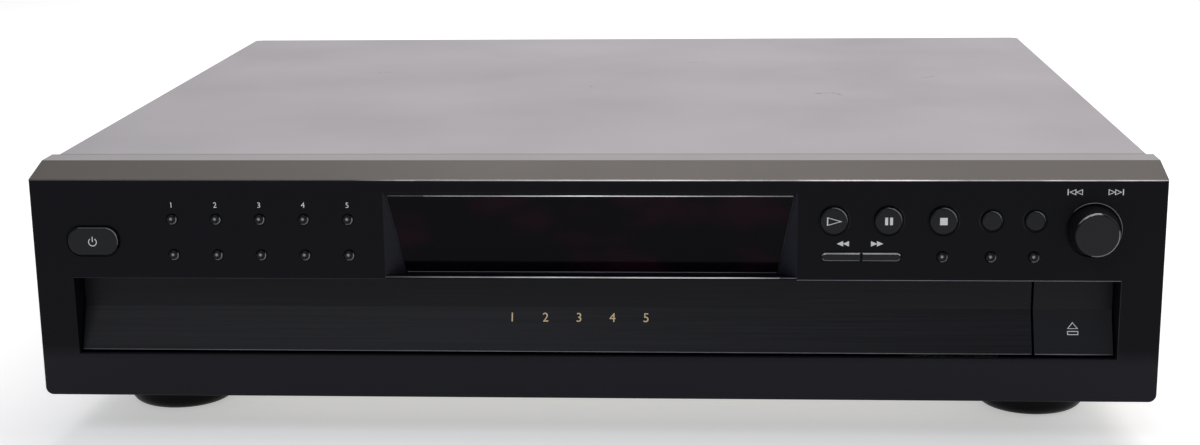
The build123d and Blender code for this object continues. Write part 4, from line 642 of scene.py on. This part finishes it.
eject_x = 183.6
sign = framed([(eject_x - 2.1, 46.4), (eject_x + 2.1, 46.4), (eject_x, 48.8)], 0.3)
sign += [bar(eject_x, z, 4.2, 0.3) for z in (44.4, 45.5)]
sign += [bar(eject_x + x, 44.95, 0.3, 0.8) for x in (-1.95, 1.95)]
slope_lift = 1.5 * ink_lift
flat_marks(
    "open_close_mark",
    [[(x / 1000, slope_at(z) - slope_lift, z / 1000) for x, z in each] for each in sign],
    "open_close_button",
    ink,
)
# Five plain numbers in gold ink along the middle of the drawer's slope, one for each place.
gold, tree, shader = surface("pad_printed_gold", Roughness=0.45)
mottled(tree, shader, 0.7, "#d9bd84", "#f2dcab")
gold_x, gold_pitch, gold_z = -5.0, 13.0, 49.6
lean = 90 - degrees(atan2(slope_rise, 1))
for k in range(disc_count):
    at = ((gold_x + (k - 2) * gold_pitch) / 1000, slope_at(gold_z), gold_z / 1000)
    digits(f"drawer_number_{k + 1}", str(k + 1), at, 3.5, lean, "tray", gold)

# ---------------------------------------------------------------- feet, screws and base
# Four round-edged discs moulded in black ABS and pegged to the base, a folded base and a flat back in
# zinc-plated steel, and blackened cross-head screws.
foot_abs = moulded(
    "polished_black_abs", "#0d0d0e", "#121213", 0.35, cloud_mm=20, IOR=1.5, Specular_IOR_Level=0.1
)
dress("feet", foot_abs)
# Zinc-plated steel: pale grey with a faint crystalline spangle and a warm passivated cast.
zinc, tree, shader = surface("zinc_plated_steel", Metallic=1.0)
spangle = mottled(tree, shader, 6, "#a09e96", "#b7b5ad", detail=5)
rough = add(tree, "MapRange", {"Value": spangle.outputs["Fac"], "To Min": 0.36, "To Max": 0.5})
tree.links.new(rough.outputs[0], shader.inputs["Roughness"])
for name in ("base_chassis", "rear_panel", "clamper_bridge", "hub_screw"):
    dress(name, zinc)
# Blackened steel: oxide with an oily satin.
oxide, tree, shader = surface("black_oxide_steel", Metallic=0.9, Roughness=0.38)
mottled(tree, shader, 1.5, "#1b1b1c", "#2a2a2b")
dress("case_screws", oxide)
# The driver's crosses, darker than the heads as painted shade of their hollows: two flat bars on each, just
# clear of it.
recess, tree, shader = surface("driver_cross_painted_shade", Roughness=0.8)
mottled(tree, shader, 0.8, "#050505", "#101010")
along_x, along_y, high = Vector((1, 0, 0)), Vector((0, 1, 0)), Vector((0, 0, 1))
side_head_x, side_head_z, rear_head_y, rear_head_z = 0.21482, 0.034, 0.18362, 0.104
heads = [(Vector((side * side_head_x, y, side_head_z)), along_y) for side in (-1, 1) for y in (-0.110, 0.130)]
heads += [(Vector((x, rear_head_y, rear_head_z)), along_x) for x in (-0.150, 0.0, 0.150)]
slot_half, slot_wide = 0.0017, 0.0004
corners = ((-1, -1), (1, -1), (1, 1), (-1, 1))
loops = []
for centre, along in heads:
    for far, wide in ((along, high), (high, along)):
        loops.append([centre + far * slot_half * u + wide * slot_wide * v for u, v in corners])
flat_marks("driver_crosses", loops, "root", recess)

# ---------------------------------------------------------------- rear sockets
# A black block with two plated sleeves, ringed red and white at their roots, and a square outlet.
dress("output_jacks", black_abs, zinc)
pick("output_jacks", 1, lambda at, facing: at.y > 0.1830)
dress("cord_gland", black_abs)


def socket_ring(name, x, z, inner, outer, front, back, material):
    """A flat moulded ring round a sleeve; sizes in millimetres, y from front to back."""
    sides, bevel = 40, 0.3
    points = []
    profile = ((front, inner), (front, outer), (back - bevel, outer), (back, outer - bevel), (back, inner))
    for y, radius in profile:
        for k in range(sides):
            angle = 2 * pi * k / sides
            corner = (x + radius * cos(angle), y, z + radius * sin(angle))
            points.append(tuple(value / 1000 for value in corner))
    faces = []
    for row in range(len(profile)):
        for k in range(sides):
            after, below = (k + 1) % sides, (row + 1) % len(profile) * sides
            faces.append((row * sides + k, below + k, below + after, row * sides + after))
    mesh_piece(name, points, faces, "root", material)


red_abs = moulded("red_moulded_abs", "#96231f", "#a82c27", 0.4, cloud_mm=8, IOR=1.5)
white_abs = moulded("white_moulded_abs", "#d6d4ce", "#e2e0da", 0.4, cloud_mm=8, IOR=1.5)
ring_front, ring_back, sleeve_radius, ring_radius, socket_z = 182.0, 183.5, 4.2, 5.9, 44.0
for name, x, plastic in (("left_socket_ring", 104.0, red_abs), ("right_socket_ring", 120.0, white_abs)):
    socket_ring(name, x, socket_z, sleeve_radius, ring_radius, ring_front, ring_back, plastic)

# ---------------------------------------------------------------- drawer and carousel
# The tray slides out with the drawer front; the carousel turns on it. Both are matt mouldings, and
# each of the five places has its number printed near the rim.
tray_abs = moulded(
    "matt_black_abs", "#121213", "#18181a", 0.6, grain_mm=0.9, IOR=1.5, Specular_IOR_Level=0.3
)
table_abs = moulded(
    "matt_charcoal_abs", "#252528", "#2d2d30", 0.58, grain_mm=0.9, IOR=1.5, Specular_IOR_Level=0.35
)
for name in ("tray", "deck_frame", "unit_holder", "pickup", "clamper"):
    dress(name, tray_abs)
dress("carousel", table_abs)
mech_x, mech_y, carousel_top, number_radius = -15.875, -3.0, 52.3, 140
for k in range(disc_count):
    angle = radians(90 + (k + 0.5) * 360 / disc_count)
    out = Vector((cos(angle), sin(angle), 0)) * number_radius
    at = (Vector((mech_x, mech_y, carousel_top)) + out) / 1000
    digits(f"place_number_{k + 1}", str(k + 1), at, 8.0, 0, "carousel", ink)

# ---------------------------------------------------------------- gears, motors and belts
# Natural acetal gears, drawn steel motor cans and moulded rubber belts, and the boards with their
# green lacquer, the laminated transformer and the glass tube of the display.
acetal = moulded("natural_acetal", "#dcd8cc", "#e6e2d6", 0.4, grain_mm=1.2, cloud_mm=8, IOR=1.48)
steel, tree, shader = surface("drawn_steel", Metallic=1.0, Roughness=0.3)
mottled(tree, shader, 1.2, "#a8a8a6", "#bdbdbb", stretch=(1, 1, 0.1), detail=3)
rubber = moulded("moulded_rubber", "#131313", "#1a1a1a", 0.7, grain_mm=0.6, IOR=1.52)
board = moulded("green_lacquered_board", "#1d4a2b", "#285c38", 0.35, grain_mm=1.5, cloud_mm=6, IOR=1.55)
core = moulded("varnished_laminations", "#2a2a2b", "#3a3937", 0.45, grain_mm=0.8, cloud_mm=5, IOR=1.5)
tube = moulded("evacuated_glass_tube", "#2e3434", "#3a4242", 0.1, grain_mm=5, cloud_mm=10, IOR=1.52)
for name in nodes:
    if name.endswith("_gear") or name.endswith("_pulley") or name == "lift_cam":
        dress(name, acetal)
    elif name.endswith("_belt"):
        dress(name, rubber)
for name in ("table_motor", "loading_motor", "unit_motors", "optical_base", "turntable", "encoder_shaft"):
    dress(name, steel)
for name in ("panel_board", "main_board"):
    dress(name, board)
dress("power_transformer", core)
dress("display_tube", tube)
